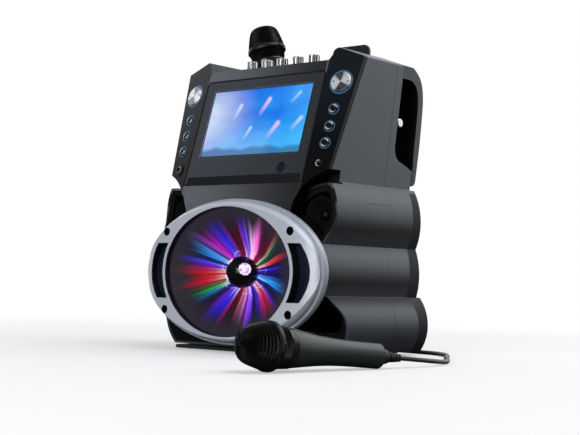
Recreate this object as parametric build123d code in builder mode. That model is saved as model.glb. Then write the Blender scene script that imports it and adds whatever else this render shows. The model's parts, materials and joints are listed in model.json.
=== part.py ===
"""Portable karaoke machine: leaning head with a wide screen and a disc tray,
a light show behind an oval ring, three-lobed sides and two hand microphones."""
import os
from math import acos, atan, cos, degrees, pi, radians, sin, tan

from build123d import *

os.makedirs("parts", exist_ok=True)

# ---------------------------------------------------------------- driving dimensions (mm)
# X runs to the machine's own left, seen from the front to the right; -Y is the front; Z = 0 is the floor.
wall = 2.6                      # moulded shells
fit = 0.3                       # clearance between neighbouring pieces
seam_y = 38.0                   # plane where the front and rear shells meet

# head
foot_y, foot_z = -77.0, 193.0   # lower front edge of the screen panel
lean = 0.30                     # how far the front leans back, per mm of height
crease_x = 92.0                 # where the control columns start
column_turn = 9.8               # degrees that a column turns back from the screen
panel_t = 3.0                   # thickness of the screen bezel and of the columns
side_foot_x, side_top_x = 120.0, 136.1
outer_top_z = 336.4             # height of the shoulder at its outer edge
ridge_x, ridge_z = 100.7, 349.4
deck_x, deck_z = 91.4, 334.7
back_y = 50.0                   # upper back wall
flare_y, flare_z = 89.0, 217.0  # where the back runs out to the full depth

# lower body
body_z = 4.5                    # underside
body_top_z = 194.0
lobe_1_x, lobe_2_x, lobe_3_x = 132.6, 129.4, 140.6   # widest points of the three lobes
valley_1_z, valley_2_z, bulge_3_z = 124.4, 68.0, 37.0
valley_x = 124.6
rear_top_y, rear_foot_y = 93.5, 106.0
apron_y = -82.0                 # front of the apron at the ring
notch_x, notch_z, notch_r = 144.0, 146.0, 65.0       # scoop under each column
notch_y = -46.0
lip_x, lip_z, lip_r = 118.0, 131.0, 61.0             # upper edge of the mouth of lobe 1

# oval ring and light show
ring_z = 92.0
ring_a, ring_b = 137.0, 83.5    # half axes of the flange
window_a, window_b = 95.6, 73.5
ring_front_y, ring_back_y = -100.0, -82.0
screw_x, screw_z = 95.0, 45.6   # from the centre of the ring
lens_y = -92.0                  # front of the clear window
ball_r, ball_y = 18.5, -69.5
bowl_y = -47.5                  # floor of the light bowl

# base
base_x, base_front_y, base_rear_y = 103.0, -76.0, 104.0
base_floor = 1.0                # base plate above the floor; the feet stand out by this

# screen
screen_w, screen_h = 153.8, 85.5
screen_v = 78.8                 # centre, up the leaning face from the foot
bezel_h = 135.2
door_h, door_half = 10.4, 87.0
bezel_corner = 5.0
eye_x, eye_v, eye_r = 56.3, 18.5, 6.3   # window of the remote control
module_w, module_h, module_t = 165.0, 100.0, 5.0

# controls on each column: across from the crease, up the leaning face
dial_at = (22.0, 120.1)
button_at = [(19.9, 87.6), (19.4, 66.8), (18.5, 46.5)]
jack_at = (16.4, 22.3)
dial_r, button_r, jack_r = 12.3, 5.5, 4.5
dial_ring_w, button_ring_w, ring_seat = 1.8, 0.95, 1.0
board_depth, board_t = 12.4, 1.6        # switch boards behind the columns
button_travel = 1.0
jack_bore_r, jack_depth = 3.2, 30.0

# top
panel_half_x, panel_y0, panel_y1, flange_t = 90.8, -28.0, 47.0, 1.4
knob_r, knob_h, knob_pitch, knob_y, knob_count = 6.9, 13.0, 24.1, -8.5, 5
knob_shaft_r, mixer_z = 3.0, 312.0
holder_x, holder_y, holder_lean = -44.0, 22.0, 14.5
phone_x0, phone_x1, phone_y0, phone_y1, phone_depth = 32.0, 86.0, 30.0, 41.5, 15.0
well_r, well_foot_r, well_wall, well_lip = 19.0, 14.5, 1.6, 2.2

# disc drive
disc_r, disc_y = 60.0, -9.0
tray_half, tray_z, tray_t = 64.5, 197.0, 4.5
tray_rear_y = 80.0
tray_travel = 128.0
rack_module, pinion_teeth = 1.0, 16
wheel_module, wheel_teeth, motor_teeth = 0.8, 36, 10
rack_x, rack_z = 12.5 - tray_half, 193.3   # pitch line and underside of the rack
pinion_y = -50.0
chassis_z, chassis_half = 173.0, 69.0
chassis_front_y, chassis_rear_y = -64.0, 83.0
deck_plate_z, rod_x, rod_z, rod_r = 186.0, 18.0, 190.5, 1.5
sled_y, sled_len, sled_travel = 9.0, 16.0, 33.0

# microphones
# distances along a microphone are taken from the tip of its head
mic_len, mic_ring_s, mic_ring_w, mic_neck_s, mic_collar_w = 170.0, 29.0, 4.0, 47.0, 6.5
mic_ring_r, mic_neck_r, mic_waist_r, mic_tail_r = 23.6, 19.8, 14.0, 12.5
mic_waist_s, mic_switch_s, mic_switch_travel = 97.0, 84.0, 7.0
boot_len, boot_r = 30.0, 8.0
cord_r = 2.5
coil_x, coil_y, coil_mean_r, coil_half, coil_h = 45.0, 160.0, 27.5, 10.5, 20.0
plug_r, plug_tip_r = 6.0, 3.15

# ---------------------------------------------------------------- working planes and forms
lean_angle = degrees(atan(lean))
up_dir = Vector(0, sin(radians(lean_angle)), cos(radians(lean_angle)))
face_dir = Vector(0, -cos(radians(lean_angle)), sin(radians(lean_angle)))
face_plane = Plane(origin=(0, foot_y, foot_z), x_dir=(1, 0, 0), z_dir=face_dir)


def front_plane(y):
    """Drawing plane square to Y at depth y; its extrusions run towards the front."""
    return Plane.XZ.offset(-y)


def column_plane(side, depth=0.0):
    """Face of a control column: x runs outwards from the crease, y up the lean."""
    turn = radians(column_turn)
    normal = face_dir * cos(turn) + Vector(side, 0, 0) * sin(turn)
    across = Vector(side, 0, 0) * cos(turn) - face_dir * sin(turn)
    origin = Vector(side * crease_x, foot_y, foot_z) - normal * depth
    x_dir = across if side > 0 else across * -1
    return Plane(origin=origin, x_dir=x_dir, z_dir=normal)


def on_column(side, at, depth=0.0):
    """Plane of one control, centred at (across, up) on the column's face."""
    face = column_plane(side, depth)
    origin = face.from_local_coords((side * at[0], at[1], 0))
    return Plane(origin=origin, x_dir=face.x_dir, z_dir=face.z_dir)


def head_form(inset, setback):
    """Solid form of the head, drawn inset from its sides and back and set back from its face."""
    low_z, high_z = foot_z - 10, ridge_z + 10
    slope = (side_top_x - side_foot_x) / (outer_top_z - foot_z)
    shift = setback / cos(radians(lean_angle))
    with BuildPart() as form:
        with BuildSketch(front_plane(flare_y - inset)):
            with BuildLine():
                Polyline((0, low_z), (side_foot_x - 10 * slope - inset, low_z),
                         (side_top_x - inset, outer_top_z - inset), (ridge_x - inset / 2, ridge_z - inset),
                         (deck_x - inset / 2, deck_z - inset), (0, deck_z - inset))
                mirror(about=Plane.YZ)
            make_face()
        extrude(amount=2 * flare_y)
        if inset == 0:
            shoulders = form.edges().filter_by(Axis.Y).group_by(Axis.Z)
            fillet(shoulders[-1] + shoulders[-2], 2.0)
        with BuildSketch(Plane.YZ):
            with BuildLine():
                back = back_y - inset
                Polyline((foot_y - 10 * lean + shift, low_z),
                         (foot_y + lean * (high_z - foot_z) + shift, high_z),
                         (back, high_z), (back, flare_z + 26))
                ThreePointArc((back, flare_z + 26), (back + 4.5, flare_z + 14), (back + 16, flare_z + 8 - inset))
                Polyline((back + 16, flare_z + 8 - inset), (flare_y - inset, flare_z - inset),
                         (flare_y - inset, low_z), (foot_y - 10 * lean + shift, low_z))
            make_face()
        extrude(amount=side_top_x + 10, both=True, mode=Mode.INTERSECT)
        for side in (-1, 1):
            turn = tan(radians(column_turn))
            with BuildSketch(Plane(origin=(0, foot_y, foot_z), x_dir=(1, 0, 0), z_dir=up_dir)):
                with BuildLine():
                    Polyline((side * crease_x, setback), (side * (crease_x + 60), setback + 60 * turn),
                             (side * (crease_x + 60), -20), (side * crease_x, -20), close=True)
                make_face()
            extrude(amount=high_z - low_z, both=True, mode=Mode.SUBTRACT)
    return form.part


def lower_form(inset, front_open, rear_inset):
    """Solid form of the three-lobed lower body."""
    low, top = body_z + inset, body_top_z - inset
    with BuildPart() as form:
        with BuildSketch(front_plane(rear_foot_y)):
            with BuildLine():
                x = valley_x - inset
                Polyline((0, top), (x - 1, top))
                ThreePointArc((x - 1, top), (lobe_1_x - inset, (top + valley_1_z) / 2), (x, valley_1_z))
                ThreePointArc((x, valley_1_z), (lobe_2_x - inset, (valley_1_z + valley_2_z) / 2), (x, valley_2_z))
                Polyline((x, valley_2_z - inset / 4), (x + 5.2, valley_2_z - inset / 4 - 0.5))
                ThreePointArc((x + 5.2, valley_2_z - inset / 4 - 0.5), (lobe_3_x - inset, bulge_3_z), (x + 4.3, low))
                Polyline((x + 4.3, low), (0, low))
                if inset:
                    Line((x, valley_2_z), (x, valley_2_z - inset / 4))
                mirror(about=Plane.YZ)
            make_face()
        extrude(amount=rear_foot_y - ring_front_y + 10)
        with BuildSketch(Plane.YZ):
            with BuildLine():
                rear_top, rear_foot = rear_top_y - rear_inset, rear_foot_y - rear_inset
                if front_open:
                    Polyline((rear_foot, 0), (ring_front_y - 10, 0), (ring_front_y - 10, body_top_z + 5),
                             (rear_top, body_top_z + 5), (rear_foot, 0))
                else:
                    Spline((-64, body_top_z + 1), (-63.5, 173), (-65, 150), (-77, 127), (-80, ring_z), (-74, 66),
                           (-55, 46), (-49, 25), (-45, 0))
                    Polyline((-45, 0), (rear_foot, 0), (rear_top, body_top_z + 1), (-64, body_top_z + 1))
            make_face()
        extrude(amount=lobe_3_x + 10, both=True, mode=Mode.INTERSECT)
    return form.part


def scoop_form(grow, lip_inset):
    """Hollow under both columns; with a lip inset it leaves the mouth of lobe 1 standing."""
    with BuildPart() as form:
        with BuildSketch(front_plane(notch_y + grow)):
            with Locations((-notch_x, notch_z), (notch_x, notch_z)):
                Circle(notch_r + grow)
            if lip_inset is not None:
                with Locations((-lip_x, lip_z), (lip_x, lip_z)):
                    Circle(lip_r - lip_inset, mode=Mode.SUBTRACT)
        extrude(amount=70)
    return form.part


def ring_oval(a, b, front_y, back_y):
    """Oval block about the axis of the ring."""
    with BuildPart() as form:
        with BuildSketch(front_plane(back_y)):
            with Locations((0, ring_z)):
                Ellipse(a, b)
        extrude(amount=back_y - front_y)
    return form.part


def apron_form(inset, setback):
    """Wedge between the screen panel and the ring, waisted by the two scoops."""
    top = foot_z + 0.5
    with BuildPart() as form:
        with BuildSketch(front_plane(notch_y + inset)):
            with Locations((0, (150 + top) / 2)):
                Rectangle(2 * 118, top - 150)
            with Locations((-notch_x, notch_z), (notch_x, notch_z)):
                Circle(notch_r + inset, mode=Mode.SUBTRACT)
        extrude(amount=50)
        with BuildSketch(Plane.YZ):
            with BuildLine():
                Polyline((notch_y + inset, 150 - inset), (apron_y + setback, 150 - inset),
                         (apron_y + setback, 171), (foot_y + lean * 0.5 + setback, top + inset),
                         (notch_y + inset, top + inset), close=True)
            make_face()
        extrude(amount=120, both=True, mode=Mode.INTERSECT)
    return form.part


# ---------------------------------------------------------------- shells
with BuildPart() as head_skin:
    add(head_form(0, 0))
    add(scoop_form(0, None), mode=Mode.SUBTRACT)

with BuildPart() as head_hollow:
    add(head_form(wall, panel_t + wall))
    add(scoop_form(wall, None), mode=Mode.SUBTRACT)

with BuildPart() as lower_skin:
    add(lower_form(0, False, 0))
    add(scoop_form(0, 0), mode=Mode.SUBTRACT)

with BuildPart() as lower_hollow:
    add(lower_form(wall, True, wall))
    add(scoop_form(wall, wall), mode=Mode.SUBTRACT)

with BuildPart() as apron:
    add(apron_form(0, 0))
    add(apron_form(wall, wall), mode=Mode.SUBTRACT)
    add(ring_oval(ring_a - 4.7, ring_b - 3.2, ring_front_y, notch_y), mode=Mode.SUBTRACT)

with BuildPart() as body:
    add(head_skin.part)
    add(lower_skin.part)
    add(head_hollow.part, mode=Mode.SUBTRACT)
    add(lower_hollow.part, mode=Mode.SUBTRACT)
    add(apron.part)

shelf_z, shelf_front_y = chassis_z - wall, -56.0
rear_panel_w, rear_panel_h, rear_panel_z = 92.0, 40.0, 84.0
peg_y, peg_z, peg_x0, peg_x1, peg_r = 58.0, 271.0, 112.0, 127.0, 5.5


def rear_plane(z, depth=0.0):
    """Plane on the sloping rear wall, facing backwards, x towards -X."""
    slope = (rear_foot_y - rear_top_y) / (body_top_z - body_z)
    y = rear_top_y + slope * (body_top_z - z)
    tilt = atan(slope)
    normal = Vector(0, cos(tilt), sin(tilt))
    return Plane(origin=Vector(0, y, z) - normal * depth, x_dir=(-1, 0, 0), z_dir=normal)


with BuildPart() as shell:
    add(body.part)
    # pockets for the screen bezel with the tray door, and for the columns
    with BuildSketch(face_plane.offset(-panel_t)) as pocket:
        with Locations((0, bezel_h / 2)):
            Rectangle(2 * crease_x, bezel_h + 2 * fit)
        fillet(pocket.vertices().group_by(Axis.Y)[-1], bezel_corner)
    extrude(amount=panel_t + 5, mode=Mode.SUBTRACT)
    for side in (-1, 1):
        with BuildSketch(column_plane(side, panel_t)):
            with Locations((side * 30, 80)):
                Rectangle(60, 200)
        extrude(amount=panel_t + 5, mode=Mode.SUBTRACT)
        # room behind the column for its switches
        with BuildSketch(column_plane(side, panel_t + wall + 1)):
            with Locations((side * 17.25, 72)):
                Rectangle(19.5, 116)
            with Locations((side * dial_at[0], dial_at[1])):
                Circle(dial_r + 2.8)
        extrude(amount=wall + 4, mode=Mode.SUBTRACT)
    with BuildSketch(face_plane.offset(-panel_t - wall - 1)):
        with Locations((0, screen_v)):
            Rectangle(module_w + 2 * fit, module_h + 2 * fit)
    extrude(amount=wall + 4, mode=Mode.SUBTRACT)
    # slot of the disc tray and its rack
    with BuildSketch(front_plane(foot_y + 14)):
        with Locations((0, (rack_z - fit + tray_z + tray_t + 0.8) / 2)):
            Rectangle(2 * (tray_half + 1.5), tray_z + tray_t + 0.8 - rack_z + fit)
    extrude(amount=24, mode=Mode.SUBTRACT)
    # seat of the top panel
    with BuildSketch(Plane.XY.offset(deck_z - flange_t)):
        with Locations((0, (panel_y0 + panel_y1) / 2)):
            Rectangle(2 * (panel_half_x + fit), panel_y1 - panel_y0 + 2 * fit)
    extrude(amount=20, mode=Mode.SUBTRACT)
    with BuildSketch(Plane.XY.offset(deck_z - wall - 1)):
        with Locations((0, (panel_y0 + panel_y1) / 2)):
            Rectangle(2 * (panel_half_x - 2.2), panel_y1 - panel_y0 - 2 * 2.4)
    extrude(amount=wall + 2, mode=Mode.SUBTRACT)
    # opening of the rear panel and two rows of vents
    with BuildSketch(rear_plane(rear_panel_z, 2 * wall)):
        Rectangle(rear_panel_w - 8, rear_panel_h - 8)
    extrude(amount=4 * wall, mode=Mode.SUBTRACT)
    with BuildSketch(rear_plane(rear_panel_z, 1.5)):
        Rectangle(rear_panel_w + 2 * fit, rear_panel_h + 2 * fit)
    extrude(amount=4, mode=Mode.SUBTRACT)
    with BuildSketch(rear_plane(146, 2 * wall)):
        with GridLocations(48, 7, 3, 5):
            SlotOverall(40, 3)
    extrude(amount=4 * wall, mode=Mode.SUBTRACT)

with BuildPart() as front_shell:
    add(shell.part)
    split(bisect_by=front_plane(seam_y), keep=Keep.TOP)
    # shelf that carries the disc drive, moulded across the shell
    with BuildSketch(Plane.XY.offset(shelf_z)):
        with Locations((0, (seam_y - 4 + shelf_front_y) / 2)):
            Rectangle(2 * chassis_half + 2, seam_y - 4 - shelf_front_y)
        with Locations((0, seam_y - 4 - 22)):
            Rectangle(2 * (lobe_1_x - 1.2), 44)
    extrude(amount=wall)
front_shell.part.label = "front_shell"
export_step(front_shell.part, "parts/front_shell.step")

with BuildPart() as rear_shell:
    add(shell.part)
    split(bisect_by=front_plane(seam_y), keep=Keep.BOTTOM)
    for side in (-1, 1):
        # boss of the strap peg
        with BuildSketch(Plane.YZ.offset(side * (peg_x0 - 9))):
            with Locations((peg_y, peg_z)):
                Circle(peg_r + 2)
            with Locations(((peg_y + back_y) / 2 - 1, peg_z)):
                Rectangle(peg_y - back_y + 2, 2 * peg_r + 4)
        extrude(amount=side * 9)
        with BuildSketch(Plane.YZ.offset(side * (peg_x0 - 6))):
            with Locations((peg_y, peg_z)):
                Circle(2.5)
        extrude(amount=side * 8, mode=Mode.SUBTRACT)
rear_shell.part.label = "rear_shell"
export_step(rear_shell.part, "parts/rear_shell.step")

# ---------------------------------------------------------------- rear arch that carries the machine
grip_w, grip_z0, grip_z1 = 96.0, 238.0, 300.0
with BuildPart() as carry_handle:
    add(head_form(0, 0))
    with BuildSketch(front_plane(flare_y + 15)):
        with BuildLine():
            slope = (side_top_x - side_foot_x) / (outer_top_z - foot_z)
            Polyline((0, foot_z), (side_foot_x, foot_z), (side_top_x, outer_top_z),
                     (ridge_x, ridge_z), (deck_x, deck_z), (0, deck_z))
            mirror(about=Plane.YZ)
        make_face()
    extrude(amount=2 * flare_y)
    with BuildSketch(Plane.YZ):
        with BuildLine():
            y0 = back_y + fit
            Spline((y0, 350), (y0 + 6, 343.5), (66, 337.6), (72, 334.8), (77.7, 331.5), (84, 326.5), (89.3, 319.6),
                   (93.8, 309), (97.2, 285), (98.9, 243), (98.5, 206))
            ThreePointArc((98.5, 206), (95.5, 200.5), (flare_y + fit, 200))
            Polyline((flare_y + fit, 200), (flare_y + fit, 216), (90, 223))
            Spline((90, 223), (88, 262), (86, 295), (80, 313), (66, 321.5))
            Polyline((66, 321.5), (y0, 322), (y0, 350))
        make_face()
    extrude(amount=side_top_x + 10, both=True, mode=Mode.INTERSECT)
    with BuildSketch(front_plane(flare_y + 20)):
        with Locations((0, (grip_z0 + grip_z1) / 2)):
            RectangleRounded(grip_w, grip_z1 - grip_z0, 12)
    extrude(amount=45, mode=Mode.SUBTRACT)
carry_handle.part.label = "carry_handle"
export_step(carry_handle.part, "parts/carry_handle.step")

with BuildPart() as strap_pegs:
    for side in (-1, 1):
        with BuildSketch(Plane.YZ.offset(side * peg_x0)):
            with Locations((peg_y, peg_z)):
                Circle(peg_r)
        extrude(amount=side * (peg_x1 - peg_x0))
        with BuildSketch(Plane.YZ.offset(side * peg_x0)):
            with Locations((peg_y, peg_z)):
                Circle(2.4)
        extrude(amount=-side * 5)
    ends = strap_pegs.edges().filter_by(GeomType.CIRCLE).filter_by(lambda e: abs(abs(e.center().X) - peg_x1) < 0.1)
    fillet(ends, 1.5)
strap_pegs.part.label = "strap_pegs"
export_step(strap_pegs.part, "parts/strap_pegs.step")

# ---------------------------------------------------------------- base
foot_r, foot_sink = 9.0, 1.6
foot_spots = [(x, y) for x in (-84, 84) for y in (base_front_y + 20, base_rear_y - 20)]
with BuildPart() as base_plate:
    with BuildSketch(Plane.XY.offset(base_floor)):
        with Locations((0, (base_front_y + base_rear_y) / 2)):
            RectangleRounded(2 * base_x, base_rear_y - base_front_y, 10)
    extrude(amount=body_z - base_floor)
    with BuildSketch(Plane.XY.offset(base_floor)):
        with Locations(*foot_spots):
            Circle(foot_r + 0.1)
    extrude(amount=foot_sink, mode=Mode.SUBTRACT)
base_plate.part.label = "base_plate"
export_step(base_plate.part, "parts/base_plate.step")

with BuildPart() as rubber_feet:
    with BuildSketch(Plane.XY):
        with Locations(*foot_spots):
            Circle(foot_r)
    extrude(amount=base_floor + foot_sink)
    fillet(rubber_feet.edges().group_by(Axis.Z)[0], 0.5)
rubber_feet.part.label = "rubber_feet"
export_step(rubber_feet.part, "parts/rubber_feet.step")

# ---------------------------------------------------------------- front baffle with the bass ports
speaker_x, speaker_z, speaker_r, speaker_y = 104.5, 157.5, 21.0, -58.4
baffle_t, baffle_set = 3.0, 1.5
oval_a, oval_b = ring_a - 5.5, ring_b - 4.0
bowl_a, bowl_b = window_a + 1.6, window_b + 1.6
port_x, port_z, port_w, port_h, port_rear = 112.0, 43.5, 41.0, 32.0, -18.0
baffle_solid = lower_form(wall + fit, False, wall)
keep_out = scoop_form(wall + fit, wall + fit)


def slot_sketch(grow):
    """Crescent at each end of the ring, between the two screws."""
    with Locations((0, ring_z)):
        Ellipse(121.5 + grow, 72 + grow)
        Ellipse(101 - grow, 79 - grow, mode=Mode.SUBTRACT)
        Rectangle(2 * ring_a, 64 + 2 * grow, mode=Mode.INTERSECT)


def speaker_seat(side):
    """Ring on the back of the baffle that a speaker is screwed to."""
    with BuildPart() as form:
        with BuildSketch(front_plane(speaker_y - fit)):
            with Locations((side * speaker_x, speaker_z)):
                Circle(speaker_r)
                Circle(speaker_r - 3, mode=Mode.SUBTRACT)
        extrude(amount=20)
        with Locations((0, baffle_set + 1, 0)):
            add(baffle_solid, mode=Mode.INTERSECT)
    return form.part


with BuildPart() as front_baffle:
    with Locations((0, baffle_set, 0)):
        add(baffle_solid)
    add(keep_out, mode=Mode.SUBTRACT)
    with BuildSketch(front_plane(-45)):
        with Locations((0, ring_z)):
            Ellipse(oval_a - 6, oval_b - 3)
    extrude(amount=36.2)
    with Locations((0, baffle_set + baffle_t, 0)):
        add(baffle_solid, mode=Mode.SUBTRACT)
    with BuildSketch(front_plane(ring_back_y + 1.2)):
        with Locations((0, ring_z)):
            Ellipse(oval_a, oval_b)
    extrude(amount=1.2)
    add(ring_oval(bowl_a + 1.5, bowl_b + 1.5, -120, 20), mode=Mode.SUBTRACT)
    # slots for the side walls of the apron
    with BuildSketch(front_plane(notch_y + 2)):
        for side in (-1, 1):
            with Locations((side * notch_x, notch_z)):
                Circle(notch_r + wall + fit)
                Circle(notch_r - fit, mode=Mode.SUBTRACT)
        with Locations((0, 200)):
            Rectangle(2 * 118.5, 101, mode=Mode.INTERSECT)
    extrude(amount=50, mode=Mode.SUBTRACT)
    # seats of the speakers behind the leaf-shaped mouths of lobe 1, which the ring bounds
    for side in (-1, 1):
        add(speaker_seat(side))
        with BuildSketch(front_plane(-30)):
            with Locations((side * lip_x, lip_z)):
                Circle(lip_r - 9)
            with Locations((side * 68, 158)):
                Circle(56, mode=Mode.INTERSECT)
            with Locations((0, ring_z)):
                Ellipse(oval_a + 3, oval_b + 3, mode=Mode.SUBTRACT)
        extrude(amount=50, mode=Mode.SUBTRACT)
        # bass ports in lobe 3
        with BuildSketch(front_plane(port_rear)):
            with Locations((side * port_x, port_z)):
                RectangleRounded(port_w + 4, port_h + 4, 14)
            with Locations((0, ring_z)):
                Ellipse(oval_a - 8, oval_b - 8, mode=Mode.SUBTRACT)
        extrude(amount=32)
        with BuildSketch(front_plane(port_rear + 1)):
            with Locations((side * port_x, port_z)):
                RectangleRounded(port_w, port_h, 12)
            with Locations((0, ring_z)):
                Ellipse(oval_a - 6, oval_b - 6, mode=Mode.SUBTRACT)
        extrude(amount=90, mode=Mode.SUBTRACT)
    # room for the front of the disc drive above the ring
    with BuildSketch(front_plane(-40)):
        with Locations((0, shelf_z + 16.5)):
            Rectangle(2 * chassis_half + 4, 34)
    extrude(amount=40, mode=Mode.SUBTRACT)
    with BuildSketch(front_plane(ring_back_y + 1.0)):
        slot_sketch(2.5)
    extrude(amount=5, mode=Mode.SUBTRACT)
    with BuildSketch(front_plane(-30)):
        with Locations((0, ring_z)):
            with GridLocations(2 * screw_x, 2 * screw_z, 2, 2):
                Circle(2.8)
    extrude(amount=60, mode=Mode.SUBTRACT)
front_baffle.part.label = "front_baffle"
export_step(front_baffle.part, "parts/front_baffle.step")

# ---------------------------------------------------------------- oval ring and light show
# forward from the flange, drawn in by
rim_steps = [(0, 0), (4.5, 0.3), (6.5, 1.6)]
crown_steps = [(0, 4.2), (6.5, 4.2), (11, 5.6), (15, 8.4), (18.5, 13.5)]

with BuildPart() as ring_bezel:
    for steps in (rim_steps, crown_steps):
        with BuildPart(mode=Mode.PRIVATE) as tier:
            for forward, drawn_in in steps:
                with BuildSketch(front_plane(ring_back_y - forward)):
                    with Locations((0, ring_z)):
                        Ellipse(ring_a - drawn_in, ring_b - 0.6 * drawn_in)
            loft()
        add(tier.part)
    with BuildSketch(Plane.XY.offset(ring_z)):
        with BuildLine():
            Spline((-ring_a - 0.5, ring_back_y - 5), (-ring_a + 9, -93.2), (-screw_x, -98.8), (0, ring_front_y),
                   (screw_x, -98.8), (ring_a - 9, -93.2), (ring_a + 0.5, ring_back_y - 5))
            Polyline((ring_a + 0.5, ring_back_y - 5), (ring_a + 0.5, ring_back_y), (-ring_a - 0.5, ring_back_y),
                     (-ring_a - 0.5, ring_back_y - 5))
        make_face()
    extrude(amount=ring_b + 5, both=True, mode=Mode.INTERSECT)
    with BuildSketch(front_plane(ring_back_y)):
        with Locations((0, ring_z)):
            Ellipse(window_a, window_b)
    extrude(amount=30, mode=Mode.SUBTRACT)
    with BuildSketch(front_plane(ring_back_y)):
        slot_sketch(0)
    extrude(amount=30, mode=Mode.SUBTRACT)
    with BuildSketch(front_plane(ring_back_y)):
        with Locations((0, ring_z)):
            Ellipse(window_a + 2, window_b + 2)
    extrude(amount=ring_back_y - lens_y, mode=Mode.SUBTRACT)
    with BuildSketch(front_plane(ring_back_y)):
        with Locations((0, ring_z)):
            with GridLocations(2 * screw_x, 2 * screw_z, 2, 2):
                Circle(2.8)
    extrude(amount=30, mode=Mode.SUBTRACT)
    with BuildSketch(front_plane(ring_back_y - 5)):
        with Locations((0, ring_z)):
            with GridLocations(2 * screw_x, 2 * screw_z, 2, 2):
                Circle(4.8)
    extrude(amount=30, mode=Mode.SUBTRACT)
ring_bezel.part.label = "ring_bezel"
export_step(ring_bezel.part, "parts/ring_bezel.step")

with BuildPart() as ring_screws:
    with BuildSketch(front_plane(ring_back_y - 5)):
        with Locations((0, ring_z)):
            with GridLocations(2 * screw_x, 2 * screw_z, 2, 2):
                Circle(4.3)
    extrude(amount=5)
    with BuildSketch(front_plane(ring_back_y + 12)):
        with Locations((0, ring_z)):
            with GridLocations(2 * screw_x, 2 * screw_z, 2, 2):
                Circle(2.5)
    extrude(amount=17)
    with BuildSketch(front_plane(ring_back_y - 7)):
        with Locations((0, ring_z)):
            with GridLocations(2 * screw_x, 2 * screw_z, 2, 2):
                RegularPolygon(2.3, 6)
    extrude(amount=5, mode=Mode.SUBTRACT)
ring_screws.part.label = "ring_screws"
export_step(ring_screws.part, "parts/ring_screws.step")

with BuildPart() as window_lens:
    with BuildSketch(front_plane(lens_y + 2)):
        with Locations((0, ring_z)):
            Ellipse(window_a + 1.8, window_b + 1.8)
    extrude(amount=1.9)
window_lens.part.label = "window_lens"
export_step(window_lens.part, "parts/window_lens.step")

bowl_rim_y, bowl_neck_r, bowl_wall = lens_y + 2.2, 26.0, 2.0
with BuildPart() as light_bowl:
    with BuildSketch(front_plane(bowl_rim_y)):
        with Locations((0, ring_z)):
            Ellipse(bowl_a, bowl_b)
    with BuildSketch(front_plane(bowl_y)):
        with Locations((0, ring_z)):
            Ellipse(bowl_neck_r + bowl_wall, bowl_neck_r + bowl_wall - 0.01)
    loft()
    with BuildSketch(front_plane(bowl_rim_y)):
        with Locations((0, ring_z)):
            Ellipse(bowl_a - bowl_wall, bowl_b - bowl_wall)
    with BuildSketch(front_plane(bowl_y - bowl_wall)):
        with Locations((0, ring_z)):
            Ellipse(bowl_neck_r, bowl_neck_r - 0.01)
    loft(mode=Mode.SUBTRACT)
    with BuildSketch(front_plane(bowl_y + 1)):
        with Locations((0, ring_z)):
            Circle(2.4)
    extrude(amount=5, mode=Mode.SUBTRACT)
light_bowl.part.label = "light_bowl"
export_step(light_bowl.part, "parts/light_bowl.step")

shaft_r = 1.5
with BuildPart() as disco_ball:
    with Locations((0, ball_y, ring_z)):
        Sphere(ball_r)
    # seat of the crystal in the nose
    with BuildSketch(front_plane(ball_y - ball_r + 1.2)):
        with Locations((0, ring_z)):
            Circle(7.5)
    extrude(amount=5, mode=Mode.SUBTRACT)
    with BuildSketch(front_plane(bowl_y + 9)):
        with Locations((0, ring_z)):
            Circle(shaft_r)
    extrude(amount=bowl_y + 9 - ball_y)
disco_ball.part.label = "disco_ball"
export_step(disco_ball.part, "parts/disco_ball.step")

with BuildPart() as ball_motor:
    with BuildSketch(front_plane(bowl_y + 18)):
        with Locations((0, ring_z)):
            Circle(12)
    extrude(amount=17.8)
    with BuildSketch(front_plane(bowl_y + 10)):
        with Locations((0, ring_z)):
            Circle(shaft_r + 0.05)
    extrude(amount=12, mode=Mode.SUBTRACT)
    # ears screwed to the floor of the bowl
    with BuildSketch(front_plane(bowl_y + 2)):
        with Locations((0, ring_z)):
            SlotOverall(44, 8)
            Circle(11, mode=Mode.SUBTRACT)
    extrude(amount=1.8)
ball_motor.part.label = "ball_motor"
export_step(ball_motor.part, "parts/ball_motor.step")

with BuildPart() as side_lights:
    with BuildSketch(front_plane(ring_back_y + 0.8)):
        slot_sketch(2.2)
    extrude(amount=0.8)
    with BuildSketch(front_plane(ring_back_y)):
        slot_sketch(-0.4)
    extrude(amount=6)
side_lights.part.label = "side_lights"
export_step(side_lights.part, "parts/side_lights.step")

# ---------------------------------------------------------------- speakers behind the mouths of lobe 1
for name, side in (("speaker_left", -1), ("speaker_right", 1)):
    with BuildPart() as speaker:
        with BuildSketch(front_plane(speaker_y + 2.5)):
            with Locations((side * speaker_x, speaker_z)):
                Circle(speaker_r)
        extrude(amount=2.5)
        with BuildSketch(front_plane(speaker_y + 2.5)):
            with Locations((side * speaker_x, speaker_z)):
                Circle(speaker_r - 2.5)
        extrude(amount=-10, taper=25)
        with BuildSketch(front_plane(speaker_y + 21)):
            with Locations((side * speaker_x, speaker_z)):
                Circle(14)
        extrude(amount=10)
        # cone with its dust cap
        with BuildSketch(front_plane(speaker_y)):
            with Locations((side * speaker_x, speaker_z)):
                Circle(speaker_r - 3.5)
        extrude(amount=-9, taper=48, mode=Mode.SUBTRACT)
        with Locations((side * speaker_x, speaker_y + 12, speaker_z)):
            Sphere(7.5)
    speaker.part.label = name
    export_step(speaker.part, f"parts/{name}.step")

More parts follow.
